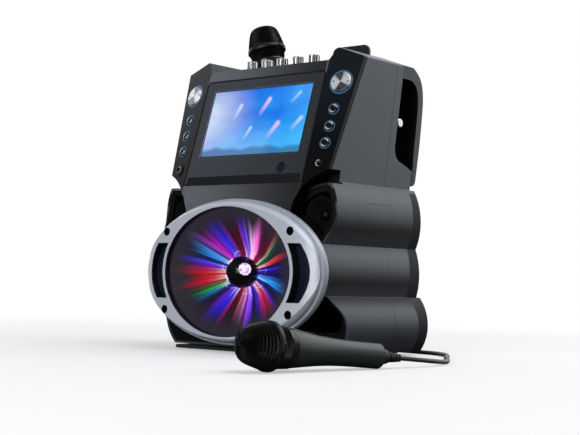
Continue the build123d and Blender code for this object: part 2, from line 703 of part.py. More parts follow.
# ---------------------------------------------------------------- screen
with BuildPart() as lcd_bezel:
    with BuildSketch(face_plane.offset(-panel_t)) as outline:
        with Locations((0, bezel_h / 2)):
            Rectangle(2 * (crease_x - fit), bezel_h)
        fillet(outline.vertices().group_by(Axis.Y)[-1], bezel_corner)
        with Locations((0, screen_v)):
            Rectangle(screen_w, screen_h, mode=Mode.SUBTRACT)
        with Locations((0, door_h / 2)):
            Rectangle(2 * (door_half + fit), door_h + 2 * fit, mode=Mode.SUBTRACT)
    extrude(amount=panel_t)
    with BuildSketch(face_plane.offset(-0.8)):
        with Locations((0, screen_v)):
            Rectangle(screen_w, screen_h)
    extrude(amount=0.9, taper=-40, mode=Mode.SUBTRACT)
    with BuildSketch(face_plane.offset(-0.6)):
        with Locations((eye_x, eye_v)):
            Circle(eye_r)
    extrude(amount=2, mode=Mode.SUBTRACT)
lcd_bezel.part.label = "lcd_bezel"
export_step(lcd_bezel.part, "parts/lcd_bezel.step")

with BuildPart() as lcd_module:
    with BuildSketch(face_plane.offset(-panel_t - 0.2)):
        with Locations((0, screen_v)):
            Rectangle(module_w, module_h)
    extrude(amount=-module_t)
    with BuildSketch(face_plane.offset(-panel_t - 0.2)):
        with Locations((0, screen_v)):
            Rectangle(screen_w - fit, screen_h - fit)
    extrude(amount=panel_t - 0.6)
lcd_module.part.label = "lcd_module"
export_step(lcd_module.part, "parts/lcd_module.step")

# ---------------------------------------------------------------- control columns
boss_spots = [(11.0, 56.6), (12.0, 101.0)]
sides = (("left", -1), ("right", 1))
flange_depth = panel_t + fit            # flanges that keep the buttons in the column
button_foot, dial_foot = board_depth - 3.4, board_depth - 0.25
dial_pivot = panel_t + 3.0              # depth of the axis that a dial rocks about

for name, side in sides:
    with BuildPart() as control_panel:
        with BuildSketch(column_plane(side, panel_t)):
            with Locations((side * (30 + fit / 2), 80)):
                Rectangle(60 - fit, 200)
        extrude(amount=panel_t + 5)
        add(head_skin.part, mode=Mode.INTERSECT)
        with BuildSketch(on_column(side, jack_at)):
            Circle(jack_r + 3.5)
        extrude(amount=0.8)
        for spot in boss_spots:
            with BuildSketch(on_column(side, spot, panel_t)):
                Circle(2.5)
            extrude(amount=panel_t - board_depth)
        for spot, radius, ring_w in [(dial_at, dial_r, dial_ring_w)] + [(at, button_r, button_ring_w) for at in button_at]:
            with BuildSketch(on_column(side, spot, 2 * panel_t)):
                Circle(radius + fit)
            extrude(amount=4 * panel_t, mode=Mode.SUBTRACT)
            with BuildSketch(on_column(side, spot, ring_seat)):
                Circle(radius + fit + ring_w + 0.2)
            extrude(amount=5, mode=Mode.SUBTRACT)
        with BuildSketch(on_column(side, jack_at, 2 * panel_t)):
            Circle(jack_r + 0.1)
        extrude(amount=4 * panel_t, mode=Mode.SUBTRACT)
    control_panel.part.label = f"control_panel_{name}"
    export_step(control_panel.part, f"parts/control_panel_{name}.step")

    with BuildPart() as dial:
        with BuildSketch(on_column(side, dial_at, panel_t + 1)):
            Circle(dial_r)
        extrude(amount=panel_t + 1 + 2.2)
        fillet(dial.faces().sort_by(Axis.Y)[0].edges(), 1.0)
        with BuildSketch(on_column(side, dial_at, panel_t + 1)):
            Circle(dial_r + 1.3)
        extrude(amount=-1.2)
        with BuildSketch(on_column(side, dial_at, panel_t + 1)):
            Circle(2.5)
        extrude(amount=panel_t + 1 - dial_foot)
        # pivot pin of the rocker
        pivot = on_column(side, dial_at, dial_pivot)
        with BuildSketch(Plane(origin=pivot.origin - pivot.x_dir * 4.5, x_dir=pivot.y_dir, z_dir=pivot.x_dir)):
            Circle(1.2)
        extrude(amount=9)
        # four marks of the rocker
        with BuildSketch(on_column(side, dial_at, -1.8)):
            with PolarLocations(9, 4):
                Circle(0.8)
        extrude(amount=2, mode=Mode.SUBTRACT)
    dial.part.label = f"dial_{name}"
    export_step(dial.part, f"parts/dial_{name}.step")

    for number, spot in enumerate(button_at, 1):
        with BuildPart() as button:
            with BuildSketch(on_column(side, spot, flange_depth)):
                Circle(button_r)
            extrude(amount=flange_depth + 1.8)
            fillet(button.faces().sort_by(Axis.Y)[0].edges(), 1.4)
            with BuildSketch(on_column(side, spot, flange_depth)):
                Circle(button_r + 0.9)
            extrude(amount=-1)
            with BuildSketch(on_column(side, spot, flange_depth)):
                Circle(2)
            extrude(amount=flange_depth - button_foot)
        button.part.label = f"button_{name}_{number}"
        export_step(button.part, f"parts/button_{name}_{number}.step")

with BuildPart() as light_rings:
    for name, side in sides:
        for spot, radius, ring_w in [(dial_at, dial_r, dial_ring_w)] + [(at, button_r, button_ring_w) for at in button_at]:
            with BuildSketch(on_column(side, spot, ring_seat - 0.05)):
                Circle(radius + fit + 0.1 + ring_w)
                Circle(radius + fit + 0.1, mode=Mode.SUBTRACT)
            extrude(amount=ring_seat + 0.35)
light_rings.part.label = "light_rings"
export_step(light_rings.part, "parts/light_rings.step")

with BuildPart() as switch_boards:
    for name, side in sides:
        with BuildSketch(on_column(side, (17, 84), board_depth)):
            Rectangle(16, 92)
        with BuildSketch(on_column(side, dial_at, board_depth)):
            Rectangle(13, 14)
        extrude(amount=-board_t)
        # cradle of the dial's pin
        with BuildSketch(on_column(side, dial_at, board_depth)):
            with GridLocations(7.4, 1, 2, 1):
                Rectangle(1.4, 4)
        extrude(amount=board_depth - dial_pivot - 1.3)
        for spot in button_at:
            with BuildSketch(on_column(side, spot, board_depth)):
                Rectangle(6, 6)
            extrude(amount=1.8)
            with BuildSketch(on_column(side, spot, board_depth)):
                Circle(1.7)
            extrude(amount=2.1)
switch_boards.part.label = "switch_boards"
export_step(switch_boards.part, "parts/switch_boards.step")

with BuildPart() as mic_jacks:
    for name, side in sides:
        with BuildSketch(on_column(side, jack_at, panel_t)):
            Circle(jack_r)
        extrude(amount=panel_t + 1.5)
        with BuildSketch(on_column(side, jack_at, panel_t)):
            Circle(jack_bore_r + 1.5)
        extrude(amount=panel_t - jack_depth)
        with BuildSketch(on_column(side, jack_at, jack_depth - 2)):
            Circle(jack_bore_r)
        extrude(amount=jack_depth + 5, mode=Mode.SUBTRACT)
mic_jacks.part.label = "mic_jacks"
export_step(mic_jacks.part, "parts/mic_jacks.step")

# ---------------------------------------------------------------- microphone frames
# z runs from the tip of the head to the tail, x points to the side of the switch
holder_dir = Vector(sin(radians(holder_lean)), 0, -cos(radians(holder_lean)))
deck_s = 64.4                   # where the axis of the standing microphone crosses the deck
holder_frame = Plane(origin=Vector(holder_x, holder_y, deck_z) - holder_dir * deck_s, x_dir=(0, -1, 0),
                     z_dir=holder_dir)
rest_s = mic_ring_s + mic_ring_w   # lower edge of the ring, on which the lying microphone rests
rest_tilt = atan((mic_ring_r - mic_tail_r) / (mic_len - rest_s))
floor_head, floor_turn = (221.0, -311.0), radians(80.2)
floor_dir = Vector(cos(floor_turn) * cos(rest_tilt), sin(floor_turn) * cos(rest_tilt), -sin(rest_tilt))
floor_tip_z = mic_ring_r * cos(rest_tilt) + rest_s * sin(rest_tilt) + 0.02
floor_up = Vector(cos(floor_turn) * sin(rest_tilt), sin(floor_turn) * sin(rest_tilt), cos(rest_tilt))
floor_frame = Plane(origin=(floor_head[0], floor_head[1], floor_tip_z), x_dir=floor_up, z_dir=floor_dir)


def along(frame, s, radial=0.0):
    """Plane square to a microphone's axis at distance s from its tip."""
    return Plane(origin=frame.from_local_coords((radial, 0, s)), x_dir=frame.x_dir, z_dir=frame.z_dir)


def profile_plane(frame):
    """Plane through a microphone's axis: x outwards, y along the axis."""
    return Plane(origin=frame.origin, x_dir=frame.x_dir, z_dir=frame.y_dir * -1)


# ---------------------------------------------------------------- top panel with well, slot and backrest
with BuildPart() as top_panel:
    with BuildSketch(Plane.XY.offset(deck_z - flange_t)):
        with Locations((0, (panel_y0 + panel_y1) / 2)):
            Rectangle(2 * panel_half_x, panel_y1 - panel_y0)
    extrude(amount=flange_t)
    with BuildSketch(Plane.XY.offset(deck_z - panel_t)):
        with Locations((0, (panel_y0 + panel_y1) / 2)):
            Rectangle(2 * (panel_half_x - 2.5), panel_y1 - panel_y0 - 5.4)
    extrude(amount=panel_t)
    with BuildSketch(along(holder_frame, deck_s - 12)):
        Circle(well_r + well_wall + fit)
    extrude(amount=24, mode=Mode.SUBTRACT)
    # slot for a phone with the backrest behind it
    phone_mid = ((phone_x0 + phone_x1) / 2, (phone_y0 + phone_y1) / 2)
    with BuildSketch(Plane.XY.offset(deck_z - phone_depth - 1.6)):
        with Locations(phone_mid):
            Rectangle(phone_x1 - phone_x0 + 3.2, phone_y1 - phone_y0 + 3.2)
    extrude(amount=phone_depth)
    with BuildSketch(front_plane(phone_y1 + 3.7)):
        with Locations((63.2, (deck_z - 1 + 365) / 2)):
            Rectangle(54.4, 366 - deck_z)
    extrude(amount=3)
    fillet(top_panel.edges().filter_by(Axis.Y).group_by(Axis.Z)[-1], 8)
    with BuildSketch(Plane.XY.offset(deck_z - phone_depth)):
        with Locations(phone_mid):
            Rectangle(phone_x1 - phone_x0, phone_y1 - phone_y0)
    extrude(amount=phone_depth + 1, mode=Mode.SUBTRACT)
    # holes of the knob shafts
    with BuildSketch(Plane.XY.offset(deck_z - 5)):
        with Locations((0, knob_y)):
            with GridLocations(knob_pitch, 1, knob_count, 1):
                Circle(knob_shaft_r + 0.4)
    extrude(amount=10, mode=Mode.SUBTRACT)
top_panel.part.label = "top_panel"
export_step(top_panel.part, "parts/top_panel.step")

with BuildPart() as mic_well:
    # straight down to the switch of the microphone, then drawn in to its tail
    well_foot_s, well_knee_s = mic_len + fit, 98.0
    with BuildSketch(along(holder_frame, deck_s - 8)):
        Circle(well_r + well_wall)
    extrude(amount=well_knee_s - deck_s + 8)
    with BuildSketch(along(holder_frame, well_knee_s)):
        Circle(well_r + well_wall)
    with BuildSketch(along(holder_frame, well_foot_s + well_wall)):
        Circle(well_foot_r + well_wall)
    loft()
    with BuildSketch(Plane.XY.offset(deck_z)):
        with Locations((holder_x, holder_y)):
            Rectangle(80, 60)
    extrude(amount=30, mode=Mode.SUBTRACT)
    with BuildSketch(Plane.XY.offset(deck_z)):
        with Locations((holder_x, holder_y)):
            Ellipse((well_r + well_wall) / cos(radians(holder_lean)) + well_lip, well_r + well_wall + well_lip)
    extrude(amount=1.2)
    with BuildSketch(along(holder_frame, deck_s - 12)):
        Circle(well_r)
    extrude(amount=well_knee_s - deck_s + 12, mode=Mode.SUBTRACT)
    with BuildSketch(along(holder_frame, well_knee_s)):
        Circle(well_r)
    with BuildSketch(along(holder_frame, well_foot_s)):
        Circle(well_foot_r)
    loft(mode=Mode.SUBTRACT)
mic_well.part.label = "mic_well"
export_step(mic_well.part, "parts/mic_well.step")

for number in range(knob_count):
    knob_x = (number - (knob_count - 1) / 2) * knob_pitch
    with BuildPart() as knob:
        with BuildSketch(Plane.XY.offset(deck_z + fit)):
            with Locations((knob_x, knob_y)):
                Circle(knob_r)
        extrude(amount=knob_h)
        fillet(knob.faces().sort_by(Axis.Z)[-1].edges(), 0.8)
        with BuildSketch(Plane.XY.offset(deck_z + fit + 2)):
            with Locations((knob_x, knob_y)):
                with PolarLocations(knob_r + 0.45, 14, start_angle=360 / 28):
                    Circle(0.9)
        extrude(amount=knob_h, mode=Mode.SUBTRACT)
        # pointer groove
        with BuildSketch(Plane.XY.offset(deck_z + fit + knob_h - 0.5)):
            with Locations((knob_x, knob_y - knob_r / 2)):
                Rectangle(1.2, knob_r)
        extrude(amount=2, mode=Mode.SUBTRACT)
        with BuildSketch(Plane.XY.offset(mixer_z + 8)):
            with Locations((knob_x, knob_y)):
                Circle(knob_shaft_r)
        extrude(amount=deck_z - mixer_z - 7)
    knob.part.label = f"knob_{number + 1}"
    export_step(knob.part, f"parts/knob_{number + 1}.step")

with BuildPart() as mixer_board:
    with BuildSketch(Plane.XY.offset(mixer_z)):
        with Locations((0, knob_y)):
            Rectangle(120, 19)
    extrude(amount=2)
    with BuildSketch(Plane.XY.offset(mixer_z + 2)):
        with Locations((0, knob_y)):
            with GridLocations(knob_pitch, 1, knob_count, 1):
                Circle(8)
    extrude(amount=deck_z - panel_t - 0.2 - mixer_z - 2)
    with BuildSketch(Plane.XY.offset(mixer_z + 7.5)):
        with Locations((0, knob_y)):
            with GridLocations(knob_pitch, 1, knob_count, 1):
                Circle(knob_shaft_r + 0.05)
    extrude(amount=deck_z - mixer_z, mode=Mode.SUBTRACT)
mixer_board.part.label = "mixer_board"
export_step(mixer_board.part, "parts/mixer_board.step")

# ---------------------------------------------------------------- disc drive
pressure = radians(20)
addendum, dedendum, backlash = 0.85, 1.25, 0.16
pinion_r = rack_module * pinion_teeth / 2
wheel_r, motor_r = wheel_module * wheel_teeth / 2, wheel_module * motor_teeth / 2
pinion_x = rack_x + pinion_r
motor_x = pinion_x + wheel_r + motor_r
wheel_z, wheel_t = 183.0, 4.0


def gear_sketch(teeth, module):
    """Spur gear with involute flanks, one tooth on +x."""
    pitch_r = module * teeth / 2
    base_r, root_r, tip_r = pitch_r * cos(pressure), pitch_r - dedendum * module, pitch_r + addendum * module
    flank = []
    for r in (root_r - 0.2, max(base_r, root_r), pitch_r, tip_r):
        a = acos(min(1.0, base_r / r))
        half = pi / (2 * teeth) - backlash / (2 * pitch_r) + tan(pressure) - pressure - tan(a) + a
        flank.append((r * cos(half), r * sin(half)))
    Circle(root_r)
    with PolarLocations(0, teeth):
        Polygon(*flank, *[(x, -y) for x, y in reversed(flank)], align=None)


with BuildPart() as loader_chassis:
    mid_y = (chassis_front_y + chassis_rear_y) / 2
    with BuildSketch(Plane.XY.offset(chassis_z)):
        with Locations((0, mid_y)):
            Rectangle(2 * chassis_half, chassis_rear_y - chassis_front_y)
    extrude(amount=2)
    # runners under the edges of the tray, side walls and rear wall
    with BuildSketch(Plane.XY.offset(chassis_z)):
        for side in (-1, 1):
            with Locations((side * (chassis_half + tray_half - 2.5) / 2, mid_y)):
                Rectangle(chassis_half - tray_half + 2.5, chassis_rear_y - chassis_front_y)
    extrude(amount=tray_z - 0.2 - chassis_z)
    with BuildSketch(Plane.XY.offset(chassis_z)):
        for side in (-1, 1):
            with Locations((side * (chassis_half + tray_half + fit) / 2, mid_y)):
                Rectangle(chassis_half - tray_half - fit, chassis_rear_y - chassis_front_y)
        with Locations((0, chassis_rear_y - 1)):
            Rectangle(2 * chassis_half, 2)
    extrude(amount=tray_z + tray_t + 2.5 - chassis_z)
    # bridge that carries the clamp
    with BuildSketch(Plane.XY.offset(tray_z + tray_t + 2.5)):
        with Locations((0, disc_y)):
            Rectangle(2 * chassis_half, 42)
            Circle(9.5, mode=Mode.SUBTRACT)
    extrude(amount=2)
    # posts of the gear and of the traverse deck
    with BuildSketch(Plane.XY.offset(chassis_z)):
        with Locations((pinion_x, pinion_y)):
            Circle(2)
    extrude(amount=tray_z - 0.5 - chassis_z)
    with BuildSketch(Plane.XY.offset(chassis_z)):
        with Locations((pinion_x, pinion_y)):
            Circle(4)
        with Locations((0, 19.5)):
            with GridLocations(62, 79, 2, 2):
                Circle(3)
    extrude(amount=wheel_z - 0.3 - chassis_z)
    with BuildSketch(Plane.XY.offset(wheel_z - 0.3)):
        with Locations((0, 19.5)):
            with GridLocations(62, 79, 2, 2):
                Circle(3)
    extrude(amount=deck_plate_z - wheel_z + 0.3)
loader_chassis.part.label = "loader_chassis"
export_step(loader_chassis.part, "parts/loader_chassis.step")

with BuildPart() as disc_tray:
    # door in front of the slot, in the plane of the screen panel
    with BuildSketch(face_plane.offset(-panel_t)):
        with Locations((0, door_h / 2)):
            Rectangle(2 * door_half, door_h)
    extrude(amount=panel_t)
    with BuildSketch(front_plane(0)):
        with Locations((0, rack_z - fit + 0.2 + 10)):
            Rectangle(2 * door_half + 2, 20)
    extrude(amount=120, mode=Mode.INTERSECT)
    front_y = foot_y + lean * (tray_z - foot_z) + panel_t - 0.5
    with BuildSketch(Plane.XY.offset(tray_z)):
        with Locations((0, (front_y + tray_rear_y) / 2)):
            Rectangle(2 * tray_half, tray_rear_y - front_y)
    extrude(amount=tray_t)
    with BuildSketch(Plane.XY.offset(tray_z + tray_t - 2)):
        with Locations((0, disc_y)):
            Circle(disc_r + 0.5)
    extrude(amount=5, mode=Mode.SUBTRACT)
    with BuildSketch(Plane.XY.offset(tray_z + tray_t - 2.8)):
        with Locations((0, disc_y)):
            Circle(40.5)
    extrude(amount=5, mode=Mode.SUBTRACT)
    with BuildSketch(Plane.XY.offset(tray_z - 1)):
        with Locations((0, disc_y)):
            Circle(17)
        with Locations((0, disc_y + 30)):
            RectangleRounded(34, 60, 8)
    extrude(amount=tray_t + 2, mode=Mode.SUBTRACT)
    # rack under the left edge, its teeth towards the pinion
    rack_y0, rack_y1 = pinion_y - 9, tray_rear_y
    with BuildSketch(Plane.XY.offset(rack_z)):
        with Locations((rack_x - dedendum * rack_module - 1.2, (rack_y0 + rack_y1) / 2)):
            Rectangle(2.6, rack_y1 - rack_y0)
        thick = pi * rack_module / 4 - backlash / 2
        tooth_pitch = pi * rack_module
        first = -int((pinion_y - rack_y0) / tooth_pitch)
        last = int((rack_y1 - pinion_y) / tooth_pitch) - 1
        with Locations(*[(rack_x, pinion_y + (k + 0.5) * tooth_pitch) for k in range(first, last + 1)]):
            Polygon((-dedendum * rack_module, -thick - dedendum * rack_module * tan(pressure)),
                    (addendum * rack_module, -thick + addendum * rack_module * tan(pressure)),
                    (addendum * rack_module, thick - addendum * rack_module * tan(pressure)),
                    (-dedendum * rack_module, thick + dedendum * rack_module * tan(pressure)), align=None)
    extrude(amount=tray_z - rack_z)
disc_tray.part.label = "disc_tray"
export_step(disc_tray.part, "parts/disc_tray.step")

with BuildPart() as tray_gear:
    with BuildSketch(Plane.XY.offset(wheel_z)):
        with Locations((pinion_x, pinion_y)):
            gear_sketch(wheel_teeth, wheel_module)
    extrude(amount=wheel_t)
    with BuildSketch(Plane.XY.offset(wheel_z + wheel_t)):
        with Locations((pinion_x, pinion_y)):
            Circle(5)
    extrude(amount=rack_z + fit - wheel_z - wheel_t)
    with BuildSketch(Plane.XY.offset(rack_z + fit)):
        with Locations(Location((pinion_x, pinion_y), 180)):
            gear_sketch(pinion_teeth, rack_module)
    extrude(amount=tray_z - rack_z - 2 * fit)
    with BuildSketch(Plane.XY.offset(wheel_z - 1)):
        with Locations((pinion_x, pinion_y)):
            Circle(2.1)
    extrude(amount=20, mode=Mode.SUBTRACT)
tray_gear.part.label = "tray_gear"
export_step(tray_gear.part, "parts/tray_gear.step")

with BuildPart() as motor_pinion:
    with BuildSketch(Plane.XY.offset(wheel_z)):
        with Locations(Location((motor_x, pinion_y), 180 - 180 / motor_teeth)):
            gear_sketch(motor_teeth, wheel_module)
    extrude(amount=wheel_t)
    with BuildSketch(Plane.XY.offset(wheel_z - 4)):
        with Locations((motor_x, pinion_y)):
            Circle(1)
    extrude(amount=4)
motor_pinion.part.label = "motor_pinion"
export_step(motor_pinion.part, "parts/motor_pinion.step")

with BuildPart() as tray_motor:
    with BuildSketch(Plane.XY.offset(chassis_z + 2)):
        with Locations((motor_x, pinion_y)):
            Circle(10)
    extrude(amount=wheel_z - 0.4 - chassis_z - 2)
    with BuildSketch(Plane.XY.offset(wheel_z - 4.2)):
        with Locations((motor_x, pinion_y)):
            Circle(1.1)
    extrude(amount=5, mode=Mode.SUBTRACT)
tray_motor.part.label = "tray_motor"
export_step(tray_motor.part, "parts/tray_motor.step")

with BuildPart() as traverse_deck:
    with BuildSketch(Plane.XY.offset(deck_plate_z)):
        with Locations((0, 19.5)):
            Rectangle(70, 89)
        with Locations((0, sled_y + (sled_len + sled_travel) / 2)):
            Rectangle(26, sled_len + sled_travel + 1, mode=Mode.SUBTRACT)
    extrude(amount=2)
    # cheeks that hold the guide rods
    with BuildSketch(Plane.XY.offset(deck_plate_z + 2)):
        for y in (sled_y - 2, sled_y + sled_len + sled_travel + 2):
            with Locations((0, y)):
                with GridLocations(2 * rod_x, 1, 2, 1):
                    Rectangle(6, 2.4)
    extrude(amount=rod_z + rod_r + 0.8 - deck_plate_z - 2)
    with BuildSketch(front_plane(sled_y + sled_len + sled_travel + 10)):
        with Locations((0, rod_z)):
            with GridLocations(2 * rod_x, 1, 2, 1):
                Circle(rod_r + 0.05)
    extrude(amount=70, mode=Mode.SUBTRACT)
    # spindle motor under the deck
    with BuildSketch(Plane.XY.offset(deck_plate_z - 9)):
        with Locations((0, disc_y)):
            Circle(9)
    extrude(amount=9)
    with BuildSketch(Plane.XY.offset(deck_plate_z - 7)):
        with Locations((0, disc_y)):
            Circle(1.1)
    extrude(amount=12, mode=Mode.SUBTRACT)
traverse_deck.part.label = "traverse_deck"
export_step(traverse_deck.part, "parts/traverse_deck.step")

with BuildPart() as sled_rods:
    with BuildSketch(front_plane(sled_y + sled_len + sled_travel + 3.2)):
        with Locations((0, rod_z)):
            with GridLocations(2 * rod_x, 1, 2, 1):
                Circle(rod_r)
    extrude(amount=sled_len + sled_travel + 6.4)
sled_rods.part.label = "sled_rods"
export_step(sled_rods.part, "parts/sled_rods.step")

with BuildPart() as turntable:
    with BuildSketch(Plane.XY.offset(deck_plate_z + 3)):
        with Locations((0, disc_y)):
            Circle(14)
    extrude(amount=2)
    with BuildSketch(Plane.XY.offset(deck_plate_z + 5)):
        with Locations((0, disc_y)):
            Circle(7.4)
    extrude(amount=3)
    chamfer(turntable.faces().sort_by(Axis.Z)[-1].edges(), 1.2)
    with BuildSketch(Plane.XY.offset(deck_plate_z - 6.5)):
        with Locations((0, disc_y)):
            Circle(1)
    extrude(amount=10)
turntable.part.label = "turntable"
export_step(turntable.part, "parts/turntable.step")

with BuildPart() as pickup_sled:
    with BuildSketch(Plane.XY.offset(rod_z - 1.9)):
        with Locations((0, sled_y + sled_len / 2)):
            Rectangle(2 * rod_x + 7, sled_len - 1)
    extrude(amount=3.9)
    with BuildSketch(front_plane(sled_y + sled_len + 1)):
        with Locations((0, rod_z)):
            with GridLocations(2 * rod_x, 1, 2, 1):
                Circle(rod_r + 0.1)
    extrude(amount=sled_len + 2, mode=Mode.SUBTRACT)
    with BuildSketch(Plane.XY.offset(rod_z + 2)):
        with Locations((0, sled_y + sled_len / 2)):
            Circle(3)
    extrude(amount=1.6)
    with BuildSketch(Plane.XY.offset(deck_plate_z)):
        with Locations((0, sled_y + sled_len / 2)):
            Rectangle(20, 12)
    extrude(amount=4)
pickup_sled.part.label = "pickup_sled"
export_step(pickup_sled.part, "parts/pickup_sled.step")

with BuildPart() as clamp_puck:
    with BuildSketch(Plane.XY.offset(tray_z + tray_t + 4.7)):
        with Locations((0, disc_y)):
            Circle(13)
    extrude(amount=1.8)
    with BuildSketch(Plane.XY.offset(tray_z + tray_t + 0.8)):
        with Locations((0, disc_y)):
            Circle(9)
    extrude(amount=4)
clamp_puck.part.label = "clamp_puck"
export_step(clamp_puck.part, "parts/clamp_puck.step")

# ---------------------------------------------------------------- boards and sockets at the rear
main_board_z = 20.0
with BuildPart() as main_board:
    with BuildSketch(Plane.XY.offset(main_board_z)):
        with Locations((0, 60)):
            Rectangle(150, 60)
    extrude(amount=1.6)
    with BuildSketch(Plane.XY.offset(body_z + wall)):
        with Locations((0, 60)):
            with GridLocations(140, 40, 2, 2):
                Circle(3)
    extrude(amount=main_board_z - body_z - wall)
    # heat sink, capacitors and coil
    with BuildSketch(Plane.XY.offset(main_board_z + 1.6)):
        with Locations((-45, 60)):
            Rectangle(36, 24)
        with Locations((-45, 61.2)):
            with GridLocations(1, 4.8, 1, 5):
                Rectangle(37, 2.4, mode=Mode.SUBTRACT)
        with Locations((-63, 60)):
            Rectangle(2, 24)
        with Locations((20, 50), (20, 70)):
            Circle(8)
        with Locations((52, 60)):
            RectangleRounded(24, 24, 3)
    extrude(amount=18)
main_board.part.label = "main_board"
export_step(main_board.part, "parts/main_board.step")

rca_spots = [(-30, 8), (-30, -8), (-12, 8), (-12, -8)]
with BuildPart() as rear_jack_panel:
    with BuildSketch(rear_plane(rear_panel_z, 1.5)):
        RectangleRounded(rear_panel_w, rear_panel_h, 3)
    extrude(amount=1.5)
    with BuildSketch(rear_plane(rear_panel_z, 1.5)):
        with Locations(*rca_spots):
            Circle(5.5)
    extrude(amount=3)
    with BuildSketch(rear_plane(rear_panel_z, 12)):
        with Locations(*rca_spots):
            Circle(4)
        with Locations((26, 0)):
            Circle(5.5)
    extrude(amount=11)
    with BuildSketch(rear_plane(rear_panel_z, 1.5)):
        with Locations(*rca_spots):
            Circle(4)
    extrude(amount=10)
    with BuildSketch(rear_plane(rear_panel_z, 10)):
        with Locations(*rca_spots):
            Circle(1.7)
    extrude(amount=25, mode=Mode.SUBTRACT)
    with BuildSketch(rear_plane(rear_panel_z, 10)):
        with Locations((26, 0)):
            Circle(3)
            Circle(0.8, mode=Mode.SUBTRACT)
    extrude(amount=15, mode=Mode.SUBTRACT)
rear_jack_panel.part.label = "rear_jack_panel"
export_step(rear_jack_panel.part, "parts/rear_jack_panel.step")

# ---------------------------------------------------------------- microphones
collar_s = mic_neck_s + mic_collar_w
switch_tilt = atan((mic_neck_r - 0.8 - mic_waist_r) / (mic_waist_s - collar_s))
for name, frame in (("holder_mic", holder_frame), ("floor_mic", floor_frame)):
    axis = Axis(frame.origin, frame.z_dir)
    skin_r = mic_neck_r - 0.8 - (mic_switch_s - collar_s) * tan(switch_tilt)
    along_skin = frame.z_dir * cos(switch_tilt) - frame.x_dir * sin(switch_tilt)
    switch_plane = Plane(origin=frame.from_local_coords((skin_r, 0, mic_switch_s)), x_dir=along_skin,
                         z_dir=frame.x_dir * cos(switch_tilt) + frame.z_dir * sin(switch_tilt))
    with BuildPart() as mic_body:
        with BuildSketch(profile_plane(frame)):
            with BuildLine():
                Polyline((0, mic_neck_s - 8), (14, mic_neck_s - 8), (14, mic_neck_s + 0.2),
                         (mic_neck_r, mic_neck_s + 0.2), (mic_neck_r - 0.4, collar_s), (mic_neck_r - 0.8, collar_s))
                Spline((mic_neck_r - 0.8, collar_s), (mic_waist_r, mic_waist_s), (mic_tail_r, mic_len - 4),
                       tangents=((-0.12, 1), (0, 1)))
                Polyline((mic_tail_r, mic_len - 4), (mic_tail_r, mic_len - 1), (mic_tail_r - 1.5, mic_len),
                         (0, mic_len), (0, mic_neck_s - 8))
            make_face()
        revolve(axis=axis)
        with BuildSketch(switch_plane.offset(-2.4)):
            RectangleRounded(22, 10, 1.6)
        extrude(amount=8, mode=Mode.SUBTRACT)
    mic_body.part.label = f"{name}_body"
    export_step(mic_body.part, f"parts/{name}_body.step")

    with BuildPart() as mic_head:
        with BuildSketch(profile_plane(frame)):
            with BuildLine():
                Spline((0, 0), (8.5, 0.8), (14, 2.7), (17, 6.4), (18.9, 11.5), (22.8, mic_ring_s), tangents=((1, 0), (0.2, 1)))
                Polyline((22.8, mic_ring_s), (mic_ring_r, mic_ring_s), (mic_ring_r, rest_s), (22.2, rest_s),
                         (mic_neck_r + 0.4, mic_neck_s - 1.5), (mic_neck_r, mic_neck_s), (14.2, mic_neck_s),
                         (14.2, mic_neck_s - 8.5), (0, mic_neck_s - 8.5), (0, 0))
            make_face()
        revolve(axis=axis)
        # lobes that keep a lying microphone from rolling
        with BuildSketch(along(frame, mic_ring_s + 0.2)):
            RectangleRounded(9, 2 * mic_ring_r + 3, 1.4)
        extrude(amount=mic_ring_w - 0.4)
    mic_head.part.label = f"{name}_head"
    export_step(mic_head.part, f"parts/{name}_head.step")

    with BuildPart() as mic_switch:
        with BuildSketch(switch_plane.offset(-2.1)):
            with Locations((-mic_switch_travel / 2, 0)):
                RectangleRounded(14, 9, 1.2)
        extrude(amount=1.8)
        with BuildSketch(switch_plane.offset(-2.1)):
            with Locations((-mic_switch_travel / 2, 0)):
                RectangleRounded(6, 6.6, 1)
        extrude(amount=2.7)
    mic_switch.part.label = f"{name}_switch"
    export_step(mic_switch.part, f"parts/{name}_switch.step")

with BuildPart() as mic_boot:
    with BuildSketch(profile_plane(floor_frame)):
        with BuildLine():
            Polyline((0, mic_len + 0.2), (boot_r, mic_len + 0.2), (boot_r - 0.9, mic_len + 10), (boot_r - 2.2, mic_len + 10.4),
                     (cord_r + 1.3, mic_len + boot_len), (0, mic_len + boot_len), close=True)
        make_face()
    revolve(axis=Axis(floor_frame.origin, floor_frame.z_dir))
    # bending grooves
    for groove in range(4):
        with BuildSketch(along(floor_frame, mic_len + 12 + 4.5 * groove)):
            Circle(boot_r + 2)
            Circle(boot_r - 3.6 - 0.42 * groove, mode=Mode.SUBTRACT)
        extrude(amount=2, mode=Mode.SUBTRACT)
mic_boot.part.label = "mic_boot"
export_step(mic_boot.part, "parts/mic_boot.step")

# ---------------------------------------------------------------- microphone cord on the floor
cord_z = cord_r + 0.05
cord_start = floor_frame.from_local_coords((0, 0, mic_len + boot_len))
cord_next = floor_frame.from_local_coords((0, 0, mic_len + boot_len + 34))
cord_route = [(cord_start.X, cord_start.Y, cord_start.Z), (cord_next.X, cord_next.Y, cord_next.Z),
              (251, -26, cord_z + 0.4), (229, 14, cord_z), (201, 50, cord_z), (181, 88, cord_z),
              (154, 114, cord_z), (122, 123, cord_z), (96, 124.5, cord_z), (70, 132, cord_z)]


def bend_radii(points):
    """Radius of each arc: 0.45 of the shorter run beside it over the tangent of half the turn."""
    steps = [Vector(*b) - Vector(*a) for a, b in zip(points, points[1:])]
    return [0.45 * min(a.length, b.length) / tan(radians(a.get_angle(b) / 2)) for a, b in zip(steps, steps[1:])]


cord_radii = bend_radii(cord_route)
print("cord radii", [round(r) for r in cord_radii])

